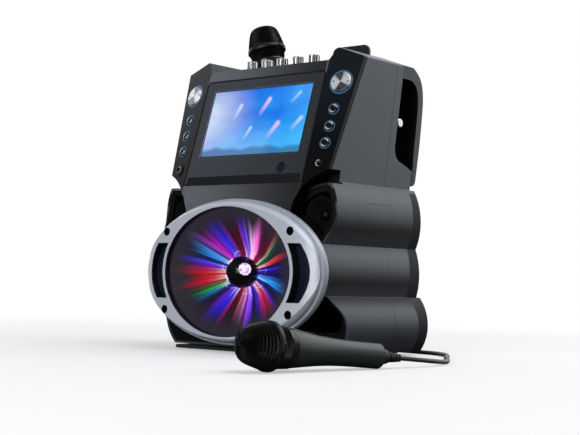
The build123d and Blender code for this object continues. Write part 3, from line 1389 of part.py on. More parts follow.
with BuildPart() as mic_cord:
    with BuildLine() as cord_line:
        FilletPolyline(*cord_route, radius=cord_radii)
    with BuildSketch(Plane(origin=cord_start, z_dir=floor_frame.z_dir)):
        Circle(cord_r)
    sweep(path=cord_line.wire())
mic_cord.part.label = "mic_cord"
export_step(mic_cord.part, "parts/mic_cord.step")
print("cord volume over section times length",
      mic_cord.part.volume / (pi * cord_r ** 2 * cord_line.wire().length))

with BuildPart() as cord_coil:
    with BuildSketch(Plane(origin=(coil_x, coil_y, 0), x_dir=(1, 0, 0), z_dir=(0, -1, 0))):
        with Locations((coil_mean_r, coil_h / 2)):
            RectangleRounded(2 * coil_half, coil_h, 7)
    revolve(axis=Axis((coil_x, coil_y, 0), (0, 0, 1)))
cord_coil.part.label = "cord_coil"
export_step(cord_coil.part, "parts/cord_coil.step")

plug_x, plug_y = coil_x - 24.0, coil_y - 29.5
with BuildPart() as mic_plug:
    with BuildSketch(Plane(origin=(plug_x, plug_y, plug_r), x_dir=(0, 0, 1), z_dir=(0, -1, 0))):
        with BuildLine():
            Polyline((0, 0), (cord_r + 1, 0), (plug_r - 1, 10), (plug_r, 11), (plug_r, 40), (plug_tip_r, 41),
                     (plug_tip_r, 64), (2.1, 66), (2.9, 68), (0, 71.5), (0, 0))
        make_face()
    revolve(axis=Axis((plug_x, plug_y, plug_r), (1, 0, 0)))
mic_plug.part.label = "mic_plug"
export_step(mic_plug.part, "parts/mic_plug.step")
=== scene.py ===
import json
from math import atan, cos, pi, radians, sin

import bpy
from mathutils import Matrix, Vector

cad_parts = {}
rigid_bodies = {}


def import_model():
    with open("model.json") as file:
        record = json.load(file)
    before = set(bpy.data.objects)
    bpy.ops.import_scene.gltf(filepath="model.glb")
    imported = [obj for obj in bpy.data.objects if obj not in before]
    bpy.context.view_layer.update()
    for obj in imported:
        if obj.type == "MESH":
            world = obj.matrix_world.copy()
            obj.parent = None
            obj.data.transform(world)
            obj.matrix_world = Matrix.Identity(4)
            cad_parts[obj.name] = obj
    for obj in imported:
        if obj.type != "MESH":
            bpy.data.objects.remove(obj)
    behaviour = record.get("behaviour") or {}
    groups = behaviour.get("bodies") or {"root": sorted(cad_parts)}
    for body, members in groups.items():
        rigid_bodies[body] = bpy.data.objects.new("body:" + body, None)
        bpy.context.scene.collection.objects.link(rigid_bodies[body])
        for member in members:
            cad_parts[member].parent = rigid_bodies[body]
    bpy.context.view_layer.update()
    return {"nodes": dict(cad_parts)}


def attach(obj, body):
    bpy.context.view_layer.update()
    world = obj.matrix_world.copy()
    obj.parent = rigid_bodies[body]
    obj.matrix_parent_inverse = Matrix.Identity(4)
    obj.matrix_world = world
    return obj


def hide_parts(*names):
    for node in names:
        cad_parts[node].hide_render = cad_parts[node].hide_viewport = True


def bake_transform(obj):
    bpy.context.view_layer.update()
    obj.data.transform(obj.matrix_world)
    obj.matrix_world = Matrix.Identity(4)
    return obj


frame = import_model()
nodes = frame["nodes"]
bpy.ops.object.select_all(action="DESELECT")
for stray in [item for item in bpy.data.objects if item.name in ("Cube", "Camera", "Light")]:
    bpy.data.objects.remove(stray)
print("frame:", len(nodes), "nodes")

mm = 0.001
machine = {"footY": -77, "footZ": 193, "lean": 0.30,  # foot and slope of the leaning face
           "creaseX": 92, "turn": 9.8,  # where the control columns turn away from it
           "seamY": 38, "ringZ": 92, "deckZ": 334.7,
           "notchX": 144, "notchZ": 146, "notchR": 65, "notchY": -46}  # scoops over the upper lobes


def ink(r, g, b):  # display colour to the linear one that shaders take
    return tuple(((c / 255 + 0.055) / 1.055) ** 2.4 if c > 10 else c / 3295 for c in (r, g, b))


class Reading:  # a socket that adds and multiplies like a number
    def __init__(self, finish, socket):
        self.finish, self.socket = finish, socket

    def calc(self, operation, *others):
        return self.finish.node("Math", {"operation": operation}, dict(enumerate((self, *others))))

    def __add__(self, other): return self.calc("ADD", other)
    __radd__ = __add__
    def __sub__(self, other): return self.calc("SUBTRACT", other)
    def __rsub__(self, other): return self.finish.node("Math", {"operation": "SUBTRACT"}, {0: other, 1: self})
    def __mul__(self, other): return self.calc("MULTIPLY", other)
    __rmul__ = __mul__
    def __truediv__(self, other): return self.calc("DIVIDE", other)
    def __pow__(self, other): return self.calc("POWER", other)
    def __lt__(self, other): return self.calc("LESS_THAN", other)
    def __gt__(self, other): return self.calc("GREATER_THAN", other)
    def __abs__(self): return self.calc("ABSOLUTE")

    def root(self): return self.calc("SQRT")
    def wave(self): return self.calc("SINE")
    def angle(self, other): return self.calc("ARCTAN2", other)
    def low(self, other): return self.calc("MINIMUM", other)
    def high(self, other): return self.calc("MAXIMUM", other)
    def inside(self, low, high): return (self > low) * (self < high)

    def ramp(self, start, end):  # 0 below start, 1 past end
        inputs = {"Value": self, "From Min": start, "From Max": end}
        return self.finish.node("MapRange", {"interpolation_type": "SMOOTHSTEP"}, inputs)


class Finish:
    def __init__(self, name, colour=(0.5, 0.5, 0.5), roughness=0.5, **sockets):
        self.material = bpy.data.materials.new(name)
        self.material.use_nodes = True
        self.tree = self.material.node_tree
        self.shader = self.tree.nodes["Principled BSDF"]
        self.set({"Base Color": colour, "Roughness": roughness})
        self.set({key.replace("_", " "): value for key, value in sockets.items()})

    def node(self, kind, settings=None, inputs=None, output=0):
        made = self.tree.nodes.new("ShaderNode" + kind)
        for key, value in (settings or {}).items():
            if key == "stops":
                while len(made.color_ramp.elements) < len(value):
                    made.color_ramp.elements.new(0.5)
                for element, (position, colour) in zip(made.color_ramp.elements, value):
                    element.position, element.color = position, (*colour, 1)
            else:
                setattr(made, key, value)
        for key, value in (inputs or {}).items():
            self.feed(made.inputs[key], value)
        if isinstance(output, (tuple, list)):
            return [Reading(self, made.outputs[key]) for key in output]
        return Reading(self, made.outputs[output])

    def feed(self, socket, value):
        if isinstance(value, Reading):
            self.tree.links.new(value.socket, socket)
        elif socket.type == "RGBA" and len(value) == 3:
            socket.default_value = (*value, 1)
        else:
            socket.default_value = value

    def set(self, sockets):
        for key, value in sockets.items():
            self.feed(self.shader.inputs[key], value)
        return self

    def spot(self):
        return self.node("TexCoord", {}, {}, "Object")

    def place(self):  # x, y and z on the piece in millimetres
        scaled = self.node("VectorMath", {"operation": "SCALE"}, {0: self.spot(), "Scale": 1000})
        return self.node("SeparateXYZ", {}, {0: scaled}, ("X", "Y", "Z"))

    def along(self, origin, *directions):  # distances in millimetres from origin along each direction
        start = tuple(c * mm for c in origin)
        offset = self.node("VectorMath", {"operation": "SUBTRACT"}, {0: self.spot(), 1: start})
        return [self.node("VectorMath", {"operation": "DOT_PRODUCT"}, {0: offset, 1: tuple(d)}, "Value") * 1000
                for d in directions]

    def mixed(self, under, over, factor, blend="MIX"):
        return self.node("Mix", {"data_type": "RGBA", "blend_type": blend}, {0: factor, 6: under, 7: over}, 2)

    def colours(self, value, *stops):
        return self.node("ValToRGB", {"stops": stops}, {0: value})

    def vector(self, x, y, z):
        return self.node("CombineXYZ", {}, {0: x, 1: y, 2: z})

    def noise(self, scale, detail=3, where=None):
        return self.node("TexNoise", {}, {"Scale": scale, "Detail": detail, "Vector": where or self.spot()})

    def bump(self, height, strength, distance):
        normal = self.node("Bump", {}, {"Strength": strength, "Distance": distance, "Height": height})
        return self.set({"Normal": normal})

    def on(self, *names):
        for name in names:
            piece = nodes.get(name) or bpy.data.objects[name]
            piece.data.materials.clear()
            piece.data.materials.append(self.material)
        return self


# moulded, with spark grain and uneven gloss
def plastic(name, colour, roughness, grain=0.22, scale=1500, spread=0.1, **sockets):
    finish = Finish(name, colour, roughness, **sockets)
    slow = finish.noise(16, 2)
    finish.set({"Roughness": slow * spread + (roughness - spread / 2)})
    finish.set({"Base Color": finish.mixed([c * 0.88 for c in colour], [min(1, c * 1.12) for c in colour], slow)})
    return finish.bump(finish.noise(scale, 2), grain, 0.00015)


def metal(name, colour, roughness):
    finish = Finish(name, colour, roughness, Metallic=1.0)
    slow = finish.noise(60, 3)
    finish.set({"Roughness": slow * 0.12 + (roughness - 0.06)})
    return finish.bump(finish.noise(900, 2), 0.05, 0.0001)


# camera, floor and light
camera = {"place": (0.9972, -1.1649, 0.0834), "azimuth": 40.25, "pitch": -2.82, "roll": 1.57, "lens": 79.94}
stage = {"floor": ink(238, 239, 241), "bounce": ink(40, 41, 43), "middleX": 60, "fade": (450, 1300),
         "backdrop": (1, 1, 1), "spread": 0.80, "sky": (0.90, 0.94, 1.0), "skyLight": 0.20}
lamps = {"topLamp": ((0.9, 0.35, 1.9), 30, 1.7), "frontLamp": ((0.3, -2.4, 0.45), 42, 1.4),  # place, watts and size
         "rearLamp": ((0.8, 2.3, 1.4), 36, 3.0), "leftLamp": ((-2.2, 0.3, 0.9), 14, 1.8)}
lampAim = (0.05, 0, 0.18)


def setCamera():
    a, e, r = (radians(camera[key]) for key in ("azimuth", "pitch", "roll"))
    back = Vector((sin(a) * cos(e), -cos(a) * cos(e), sin(e)))
    right = Vector((cos(a), sin(a), 0))
    up = back.cross(right)
    axes = Matrix((right * cos(r) + up * sin(r), up * cos(r) - right * sin(r), back))
    bpy.ops.object.camera_add()
    seen = bpy.context.object
    seen.matrix_world = Matrix.Translation(camera["place"]) @ axes.transposed().to_4x4()
    seen.data.lens, seen.data.sensor_width = camera["lens"], 36
    bpy.context.scene.camera = seen


def setStage():
    bpy.ops.mesh.primitive_circle_add(vertices=96, radius=14, fill_type="NGON")
    floor = bpy.context.object
    floor.name = "floor"
    finish = Finish("paleFloor", stage["floor"], 0.7).on("floor")
    x, y, _ = finish.place()
    far = ((x - stage["middleX"]) ** 2 + y * y).root().ramp(*stage["fade"])
    glow = finish.node("Emission", {}, {"Color": stage["backdrop"], "Strength": 1.0})
    seen = finish.node("LightPath", {}, {}, "Is Camera Ray")
    finish.set({"Base Color": finish.mixed(stage["bounce"], stage["floor"], seen)})
    lit = Reading(finish, finish.shader.outputs[0])
    shown = finish.node("MixShader", {}, {0: (far * 0.6 + 0.4) * seen, 1: lit, 2: glow})
    finish.feed(finish.tree.nodes["Material Output"].inputs[0], shown)
    world = bpy.data.worlds.new("studio")
    bpy.context.scene.world = world
    world.use_nodes = True
    tree = world.node_tree

    def join(kind, settings, *sources):
        made = tree.nodes.new("ShaderNode" + kind)
        for key, value in settings.items():
            setattr(made, key, value)
        for socket, source in zip(made.inputs, sources):
            if hasattr(source, "node"):
                tree.links.new(source, socket)
            elif source is not None:
                socket.default_value = source
        return made.outputs

    a, e = (radians(camera[key]) for key in ("azimuth", "pitch"))
    ahead = (-sin(a) * cos(e), cos(a) * cos(e), -sin(e))
    way = join("TexCoord", {})["Generated"]
    facing = join("VectorMath", {"operation": "DOT_PRODUCT"}, way, ahead)["Value"]
    behind = join("Math", {"operation": "GREATER_THAN"}, facing, stage["spread"])[0]
    rays = join("LightPath", {})
    seen = join("Math", {"operation": "MAXIMUM"}, rays["Is Glossy Ray"], rays["Is Transmission Ray"])[0]
    backdrop = join("Math", {"operation": "MULTIPLY"}, seen, behind)[0]
    factor = join("Math", {"operation": "MAXIMUM"}, rays["Is Camera Ray"], backdrop)[0]
    sky = join("Background", {}, (*stage["sky"], 1), stage["skyLight"])[0]
    white = join("Background", {}, (*stage["backdrop"], 1), 1.0)[0]
    shown = join("MixShader", {}, factor, sky, white)[0]
    tree.links.new(shown, tree.nodes["World Output"].inputs[0])


def setLamps():
    for name, (spot, power, width) in lamps.items():
        bpy.ops.object.light_add(type="AREA", location=spot)
        lamp = bpy.context.object
        lamp.name = name
        lamp.data.energy, lamp.data.size = power, width
        lamp.rotation_euler = (Vector(lampAim) - Vector(spot)).to_track_quat("-Z", "Y").to_euler()


setCamera()
setStage()
setLamps()
bpy.context.scene.view_settings.view_transform = "Standard"
print("camera, floor and lamps set")


# modelling steps that several pieces share
def startOn(name, adder, **options):  # a new primitive in edit mode
    bpy.ops.object.select_all(action="DESELECT")
    adder(**options)
    piece = bpy.context.object
    piece.name = piece.data.name = name
    bpy.ops.object.mode_set(mode="EDIT")
    return piece


def ringUp(steps, turn=0.0):  # extrudes the selected rim along z: (rise, scale) each
    height = steps[0]
    for rise, scale in steps[1:]:
        height += rise
        bpy.ops.mesh.extrude_edges_move(TRANSFORM_OT_translate={"value": (0, 0, rise * mm)})
        bpy.ops.transform.resize(value=(scale, scale, 1), center_override=(0, 0, height * mm))
        if turn:
            bpy.ops.transform.rotate(value=turn, orient_axis="Z", center_override=(0, 0, height * mm))


def turned(name, profile, sides=48, twist=0.0, closed=True):  # a lathe job: (radius, height) points
    r0, z0 = profile[0]
    piece = startOn(name, bpy.ops.mesh.primitive_circle_add, vertices=sides, radius=r0 * mm, location=(0, 0, z0 * mm))
    bpy.ops.object.mode_set(mode="OBJECT")
    bpy.ops.object.transform_apply(location=True)
    bpy.ops.object.mode_set(mode="EDIT")
    bpy.ops.mesh.select_all(action="SELECT")
    if closed:
        bpy.ops.mesh.edge_face_add()
        bpy.ops.mesh.select_mode(type="EDGE")
        bpy.ops.mesh.select_all(action="SELECT")
    steps = [z0] + [(z - za, r / ra) for (ra, za), (r, z) in zip(profile, profile[1:])]
    ringUp(steps, twist)
    if closed:
        bpy.ops.mesh.edge_face_add()
    bpy.ops.mesh.select_all(action="SELECT")
    bpy.ops.mesh.normals_make_consistent(inside=False)
    bpy.ops.object.mode_set(mode="OBJECT")
    return piece


def finishOff(piece, body, material, place, smooth, modifiers=()):
    bpy.ops.object.mode_set(mode="OBJECT")
    bpy.ops.object.select_all(action="DESELECT")
    piece.select_set(True)
    bpy.context.view_layer.objects.active = piece
    for kind, settings in modifiers:
        modifier = piece.modifiers.new(kind, kind)
        for key, value in settings.items():
            setattr(modifier, key, value)
        bpy.ops.object.modifier_apply(modifier=modifier.name)
    piece.matrix_world = place @ piece.matrix_world
    bpy.ops.object.transform_apply(location=True, rotation=True, scale=True)
    if smooth:
        bpy.ops.object.shade_smooth_by_angle(angle=radians(smooth))
    material.on(piece.name)
    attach(piece, body)
    return piece


def copied(piece, name, body, moved):  # a copy with its own mesh
    twin = piece.copy()
    twin.data = piece.data.copy()
    twin.name = twin.data.name = name
    bpy.context.collection.objects.link(twin)
    twin.parent = None
    twin.matrix_world = Matrix.Identity(4)
    twin.data.transform(moved)
    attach(twin, body)


def framed(origin, across, up, out):  # placing matrix from three directions, origin in millimetres
    return Matrix.Translation(Vector(origin) * mm) @ Matrix((across, up, out)).transposed().to_4x4()


leanAngle = atan(machine["lean"])
upFace = Vector((0, sin(leanAngle), cos(leanAngle)))
outFace = Vector((0, -cos(leanAngle), sin(leanAngle)))
faceFoot = Vector((0, machine["footY"], machine["footZ"]))


def columnAxes(side):  # origin, across, up and outward directions of a control column
    turn = radians(machine["turn"])
    out = outFace * cos(turn) + Vector((side, 0, 0)) * sin(turn)
    across = Vector((side, 0, 0)) * cos(turn) - outFace * sin(turn)
    return faceFoot + Vector((side * machine["creaseX"], 0, 0)), across, upFace, out


def onColumn(side, at, out=0.0):  # the point at a place across and up a control column
    origin, across, up, outward = columnAxes(side)
    return origin + across * at[0] + up * at[1] + outward * out


# the microphones' sizes and places in millimetres
mic = {"length": 170, "deckS": 64.4, "ringS": 29, "restS": 33, "ringR": 23.6, "tailR": 12.5, "boot": 30,
       "wellLean": 14.5, "wellX": -44, "wellY": 22, "floorTurn": 80.2, "floorX": 221, "floorY": -311, "gap": 0.02}
wellLean, floorTurn = radians(mic["wellLean"]), radians(mic["floorTurn"])
holderDir = Vector((sin(wellLean), 0, -cos(wellLean)))
holderTip = Vector((mic["wellX"], mic["wellY"], machine["deckZ"])) - holderDir * mic["deckS"]
restTilt = atan((mic["ringR"] - mic["tailR"]) / (mic["length"] - mic["restS"]))
floorDir = Vector((cos(floorTurn) * cos(restTilt), sin(floorTurn) * cos(restTilt), -sin(restTilt)))
floorUp = Vector((cos(floorTurn) * sin(restTilt), sin(floorTurn) * sin(restTilt), cos(restTilt)))
floorHeight = mic["ringR"] * cos(restTilt) + mic["restS"] * sin(restTilt) + mic["gap"]
floorTip = Vector((mic["floorX"], mic["floorY"], floorHeight))
micPlaces = {"holderMic": framed(holderTip, Vector((0, -1, 0)), holderDir.cross(Vector((0, -1, 0))), holderDir),
             "floorMic": framed(floorTip, floorUp, floorDir.cross(floorUp), floorDir)}

# cord of the microphone on the floor
cord = {"lying": (218, 28, 3), "radius": 2.5, "z": 2.55, "straight": 34,
        "line": [(251, -26, 2.95), (229, 14, 2.55), (201, 50, 2.55), (181, 88, 2.55), (154, 114, 2.55),
                 (122, 123, 2.55)],
        "coil": (45, 160), "startAngle": -58, "radii": (35.4, 30.4, 25.3, 20.2), "layers": 4, "rise": 5.05,
        "perTurn": 16, "stepFrom": 9,  # points in a turn, and the one from which it moves to the next
        "dark": ink(17, 17, 19), "pale": ink(34, 34, 37)}


def cordPoints():
    tail = mic["length"] + mic["boot"]
    points = [tuple(floorTip + floorDir * far) for far in (tail, tail + cord["straight"])] + cord["line"]
    x, y = cord["coil"]
    angle, step, z = radians(cord["startAngle"]), -2 * pi / cord["perTurn"], cord["z"]
    for layer in range(cord["layers"]):
        radii = cord["radii"] if layer % 2 == 0 else cord["radii"][::-1]
        for turn, radius in enumerate(radii):
            last = turn + 1 == len(radii)
            following = radius if last else radii[turn + 1]
            for k in range(cord["perTurn"]):
                share = max(0, (k - cord["stepFrom"]) / (cord["perTurn"] - cord["stepFrom"]))
                r = radius + (following - radius) * share
                lift = cord["rise"] * share if last and layer + 1 < cord["layers"] else 0
                points.append((x + r * cos(angle), y + r * sin(angle), z + layer * cord["rise"] + lift))
                angle += step
    return points


def layCord():
    points = cordPoints()
    line = bpy.data.curves.new("micCord", "CURVE")
    line.dimensions = "3D"
    spline = line.splines.new("NURBS")
    spline.points.add(len(points) - 1)
    for point, spot in zip(spline.points, points):
        point.co = (*(c * mm for c in spot), 1)
    spline.order_u = 3
    spline.use_endpoint_u = True
    spline.resolution_u = 6
    piece = bpy.data.objects.new("micCord", line)
    bpy.context.collection.objects.link(piece)
    path = [tuple(vertex.co) for vertex in bpy.data.meshes.new_from_object(piece).vertices]
    line.bevel_depth = cord["radius"] * mm
    line.bevel_resolution = 3
    line.use_fill_caps = True
    rubber = Finish("cordRubber", ink(22, 22, 24), 0.42)
    slow = rubber.noise(40, 2)
    rubber.set({"Roughness": slow * 0.15 + 0.36, "Base Color": rubber.mixed(cord["dark"], cord["pale"], slow)})
    rubber.bump(rubber.noise(1100, 2), 0.15, 0.00015)
    bpy.ops.object.select_all(action="DESELECT")
    piece.select_set(True)
    bpy.context.view_layer.objects.active = piece
    bpy.ops.object.convert(target="MESH")
    piece = bpy.context.object
    piece.data.materials.append(rubber.material)
    bpy.ops.object.shade_smooth_by_angle(angle=radians(60))
    # the cord's lying point in metres, worked out but not used
    tuple(c * mm for c in cord["lying"])
    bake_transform(piece)
    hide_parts("mic_cord", "cord_coil")
    return piece, path


micCord, cordPath = layCord()
print("cord laid through", len(cordPath), "points")

# moulded shells
# the darkest tints here also serve as painted shade in the tails, corners, scoops and hollows; the ledge tint is
# painted light
shells = {"side": ink(97, 103, 109), "arch": ink(73, 78, 83), "speck": (0.62, 0.64, 0.68), "roughness": 0.38,
          "apron": ink(99, 102, 107), "strip": ink(100, 103, 108), "lobe": ink(91, 97, 104), "tail": ink(20, 22, 25),
          "black": ink(5, 5, 6), "scoopShade": ink(9, 9, 11), "seam": ink(38, 40, 43), "ledgeLight": ink(80, 84, 90),
          "tops": (68.0, 124.4, 193.4),  # height of each lobe's top
          "shade": ((0, 0.5), (0.1, 0.4), (0.25, 0.12), (0.35, 0.18), (0.5, 0.46), (0.65, 0.8), (0.8, 1),
                    (0.9, 0.85), (1, 0.5)),  # painted shading: brightness up a lobe
          "tailShadeY": (78.5, 81.5), "tailShadeTop": 190, "crownShadowZ": (50, 67), "apronX": 119, "apronY": -60,
          "stripX": 90, "stripY": -20, "stripZ": 318, "cornerX": 112,
          "flankX": (88, 101), "flankY": -34, "flankZ": 333,
          "mouthX": 131.9, "mouthY": (-64.2, -63.4), "mouthZ": (120, 186),
          "ledgeX": 131, "ledgeY": (-10, 34), "ledgeZ": 173,
          "backWallX": 118, "backWallY": 51.3, "archCorner": (62, 297, 24.9), "archLean": 0.049}


def lobeParts(finish, colour, x, y, z):  # painted shade: each lobe painted brightest near its top and darker below, with a painted dark band at its rear and painted shadow on the lowest lobe's top under the one above
    low, middle, head = shells["tops"]
    over, top = z > low, z > middle
    height = over * (middle - 2 * low) + top * (head - 2 * middle + low) + low
    level = (z - over * low - top * (middle - low)) / height
    shade = finish.colours(level, *((at, (k, k, k)) for at, k in shells["shade"]))
    # painted shade: the lowest lobe gets flatter painted shading
    shade = finish.mixed(shade, (0.6, 0.6, 0.6), (1 - over) * 0.55)
    lobes = finish.mixed(finish.mixed(shells["lobe"], colour, 0.15), shade, 1, "MULTIPLY")
    colour = finish.mixed(lobes, colour, (z > head).high((y < shells["apronY"]) * (abs(x) < shells["apronX"])))
    # painted shade: a dark band at each lobe's rear, and a painted shadow on the lowest lobe's top under the middle one
    tail = (y - (62 - z).high(0).low(30) * 0.2).ramp(*shells["tailShadeY"]) * (z < shells["tailShadeTop"])
    crownShadow = z.ramp(*shells["crownShadowZ"]) * (z < low - 0.6)
    colour = finish.mixed(finish.mixed(colour, (0, 0, 0), crownShadow), shells["tail"], tail)
    return finish.mixed(colour, shells["seam"], abs(y - machine["seamY"]) < 0.4), tail.high(crownShadow)


def columnCornerShade(finish, side, x, z):  # painted shade: the shell's corner beside a control column painted black
    origin, _, _, out = columnAxes(side)
    (rise,) = finish.along(origin, out)
    return rise.ramp(-6.2, -4.2) * (x * side > shells["cornerX"]) * (z > shells["tops"][2] + 2)


def frontParts(finish, colour, x, y, z):  # apron, strip over the screen, column corners, mouths and scoops: painted shade on all of them, and painted light on the ledge
    wide, head = abs(x), shells["tops"][2]
    apron = (y < shells["apronY"]) * (wide < shells["apronX"]) * (z < head)
    # painted shade: the apron darkens towards the right
    colour = finish.mixed(colour, finish.mixed(shells["apron"], (0, 0, 0), x.ramp(-100, 95) * 0.9), apron)
    strip = (z > shells["stripZ"]) * (wide < shells["stripX"]) * (y < shells["stripY"])
    # painted shade: the strip over the screen darkens towards the right
    colour = finish.mixed(colour, finish.mixed(shells["strip"], (0, 0, 0), x.ramp(-92, 95) * 0.88), strip)
    cornerShade = sum(columnCornerShade(finish, side, x, z) for side in (-1, 1))
    # painted shade in the corners beside the columns
    colour = finish.mixed(colour, shells["black"], cornerShade)
    # painted shade: the shoulders' inner slopes painted dark
    flank = (z > shells["flankZ"]) * wide.inside(*shells["flankX"]) * (y > shells["flankY"])
    colour = finish.mixed(colour, shells["tail"], flank)
    # painted light: the thin ledge is lightened so its shading line does not show
    ledgeLight = (abs(z - shells["ledgeZ"]) < 0.45) * (wide > shells["ledgeX"]) * y.inside(*shells["ledgeY"])
    colour = finish.mixed(colour, shells["ledgeLight"], ledgeLight)
    # painted shade: the scoops' undersides, the wall behind them and the lobes' mouths painted near-black
    apart = ((wide - machine["notchX"]) ** 2 + (z - machine["notchZ"]) ** 2).root()
    scoop = (abs(apart - machine["notchR"]) < 0.3) * (y < machine["notchY"] + 0.05)
    back = (abs(y - machine["notchY"]) < 0.02) * (apart < machine["notchR"] + 0.3)
    mouth = (wide < shells["mouthX"]) * y.inside(*shells["mouthY"]) * z.inside(*shells["mouthZ"])
    return finish.mixed(colour, shells["scoopShade"], scoop.high(back).high(mouth)), cornerShade


def shellPaint(name, kind):
    finish = plastic(name, shells["side"], shells["roughness"], Specular_IOR_Level=0.35)
    x, y, z = finish.place()
    slow = finish.noise(9, 3)
    tint = shells["arch" if kind == "arch" else "side"]
    worn = finish.mixed(tint, shells["speck"], (finish.noise(210, 4) > 0.735) * 0.05)
    colour = finish.mixed(worn, finish.mixed(worn, (0, 0, 0), 0.12), slow)
    if kind == "arch":
        # painted shade: the inside of the arch over the hollow painted black, deeper than its dark plastic
        cornerY, cornerZ, cornerR = shells["archCorner"]
        inY = (y - (cornerZ - z).high(0) * shells["archLean"] - cornerY).high(0)
        inZ = (z - cornerZ).high(0)
        inside = (inY * inY + inZ * inZ).root() < cornerR
        return finish.set({"Base Color": finish.mixed(colour, shells["black"], inside)})
    colour, matt = lobeParts(finish, colour, x, y, z)
    if kind == "front":
        colour, cornerShade = frontParts(finish, colour, x, y, z)
        matt = matt.high(cornerShade * 1.6)
    else:
        # painted shade: the hollow's back wall painted black, deeper than its dark plastic
        wall = (y > shells["backWallY"]) * (z > shells["tops"][2]) * (abs(x) < shells["backWallX"])
        colour = finish.mixed(colour, shells["black"], wall)
    return finish.set({"Base Color": colour, "Roughness": slow * 0.1 + matt * 0.25 + 0.33})


shellPaint("frontShellPlastic", "front").on("front_shell")
shellPaint("rearShellPlastic", "rear").on("rear_shell")
shellPaint("archPlastic", "arch").on("carry_handle")
plastic("baffleBlack", ink(5, 5, 6), 0.55, Specular_IOR_Level=0.15).on("front_baffle")
plastic("topPanelBlack", ink(20, 21, 23), 0.34, 0.3).on("top_panel")
plastic("wellBlack", ink(14, 14, 16), 0.4).on("mic_well")
plastic("basePlastic", ink(16, 16, 18), 0.5).on("base_plate")
plastic("footRubber", ink(24, 24, 25), 0.75, 0.4, 900).on("rubber_feet")
metal("pegMetal", ink(196, 199, 204), 0.22).on("strap_pegs")

# screen and its bezel, sizes in millimetres, glows and streaks in halves of the picture
screen = {"w": 153.8, "h": 85.5, "v": 78.8, "bezelHalf": 91.7, "bezelH": 135.2,
          "corner": 5.6, "groove": 1.9, "footGroove": 1.6, "grooveTint": ink(5, 5, 7),
          "eye": (56.3, 18.5, 6.35), "eyeTint": ink(16, 18, 34),
          "frame": (ink(56, 59, 66), ink(65, 68, 75)), "frameShade": ink(36, 39, 44), "rim": ink(112, 118, 128),
          "haze": ((0.0, ink(10, 66, 186)), (0.35, ink(6, 102, 226)), (0.65, ink(22, 140, 240)),
                   (1.0, ink(66, 184, 250))),
          "glows": ((-1.05, 0.15, 1.15, ink(225, 242, 255), 0.95), (-0.2, -1.25, 1.0, ink(150, 215, 255), 0.8),
                    (0.95, 0.9, 0.7, ink(90, 190, 255), 0.5)),
          "streaks": ((0.12, 0.42, 1.05, 0.26, 0.052, ink(226, 196, 250)),  # place, lean, length, width and tint
                      (0.70, 0.62, 0.80, 0.20, 0.040, ink(150, 205, 255)),
                      (-0.42, 0.30, 1.20, 0.24, 0.046, ink(205, 214, 255)),
                      (0.38, -0.30, 0.95, 0.26, 0.056, ink(222, 196, 250)),
                      (-0.12, -0.35, 1.10, 0.20, 0.040, ink(180, 215, 255)),
                      (0.82, -0.15, 0.85, 0.22, 0.048, ink(190, 205, 255))),
          "crowd": ink(12, 26, 78)}


def bezelPaint():
    finish = plastic("bezelPlastic", ink(54, 57, 64), 0.30, 0.12)
    across, up, out = finish.along(faceFoot, (1, 0, 0), upFace, outFace)
    inward = (abs(across) / (screen["w"] / 2)).high(abs(up - screen["v"]) / (screen["h"] / 2))
    rim = (inward < 1.035) * (out < -0.02)
    eyeX, eyeV, eyeR = screen["eye"]
    eye = ((across - eyeX) ** 2 + (up - eyeV) ** 2).root() < eyeR
    colour = finish.mixed(*screen["frame"], finish.noise(7, 2))
    # painted shade: the bezel darkens towards the right
    colour = finish.mixed(colour, screen["frameShade"], across.ramp(-70, 95) * 0.85)
    # painted highlight: a thin light line on the recessed edge round the screen
    colour = finish.mixed(finish.mixed(colour, screen["rim"], rim), screen["eyeTint"], eye)
    cornerX = (abs(across) - screen["bezelHalf"] + screen["corner"]).high(0)
    cornerV = (up - screen["bezelH"] + screen["corner"]).high(0)
    edge = (cornerX * cornerX + cornerV * cornerV).root() > screen["corner"] - screen["groove"]
    colour = finish.mixed(colour, screen["grooveTint"], edge.high(up < screen["footGroove"]))
    return finish.set({"Base Color": colour, "Roughness": (1 - eye) * 0.22 + 0.08})


def screenPicture():  # blurred stage lights in a blue haze, made up for the display
    finish = Finish("screenGlow", (0.004, 0.005, 0.012), 0.12)
    across, up = finish.along(faceFoot + upFace * screen["v"], (1, 0, 0), upFace)
    u, v = across / (screen["w"] / 2), up / (screen["h"] / 2)
    haze = finish.noise(1.6, 3, finish.vector(u, v, 0.3))
    depth = (u * 0.25 - v * 0.2 + 0.5 + (haze - 0.5) * 0.9).high(0).low(1)
    colour = finish.colours(depth, *screen["haze"])
    for glowU, glowV, wide, tint, power in screen["glows"]:
        near = ((u - glowU) ** 2 + ((v - glowV) * 0.62) ** 2).root() / wide
        colour = finish.mixed(colour, tint, (1 - near.ramp(0.0, 1.0)) * (haze * 0.7 + 0.5) * power)
    for streakU, streakV, lean, length, width, tint in screen["streaks"]:
        du, dv = u - streakU, (v - streakV) * 0.56
        far = du * cos(lean) + dv * sin(lean)
        off = dv * cos(lean) - du * sin(lean)
        end = (abs(far) - length / 2).high(0)
        blob = 1 - ((end * end + off * off).root() / width).ramp(0.0, 1.25)
        colour = finish.mixed(colour, tint, blob * (far / length + 0.75))
    crowd = 1 - (v + 0.80 - (u * 7).wave() * 0.03 - (u * 17 + 1).wave() * 0.02).ramp(-0.05, 0.10)
    colour = finish.mixed(colour, screen["crowd"], crowd * 0.55)
    edge = (abs(u) > 0.985) + (abs(v) > 0.975)
    colour = finish.mixed(colour, (0.002, 0.002, 0.004), edge)
    return finish.set({"Emission Color": colour, "Emission Strength": 1.0})


bezelPaint().on("lcd_bezel")
screenPicture().on("lcd_module")
plastic("trayGloss", ink(15, 15, 17), 0.14, 0.05).on("disc_tray")

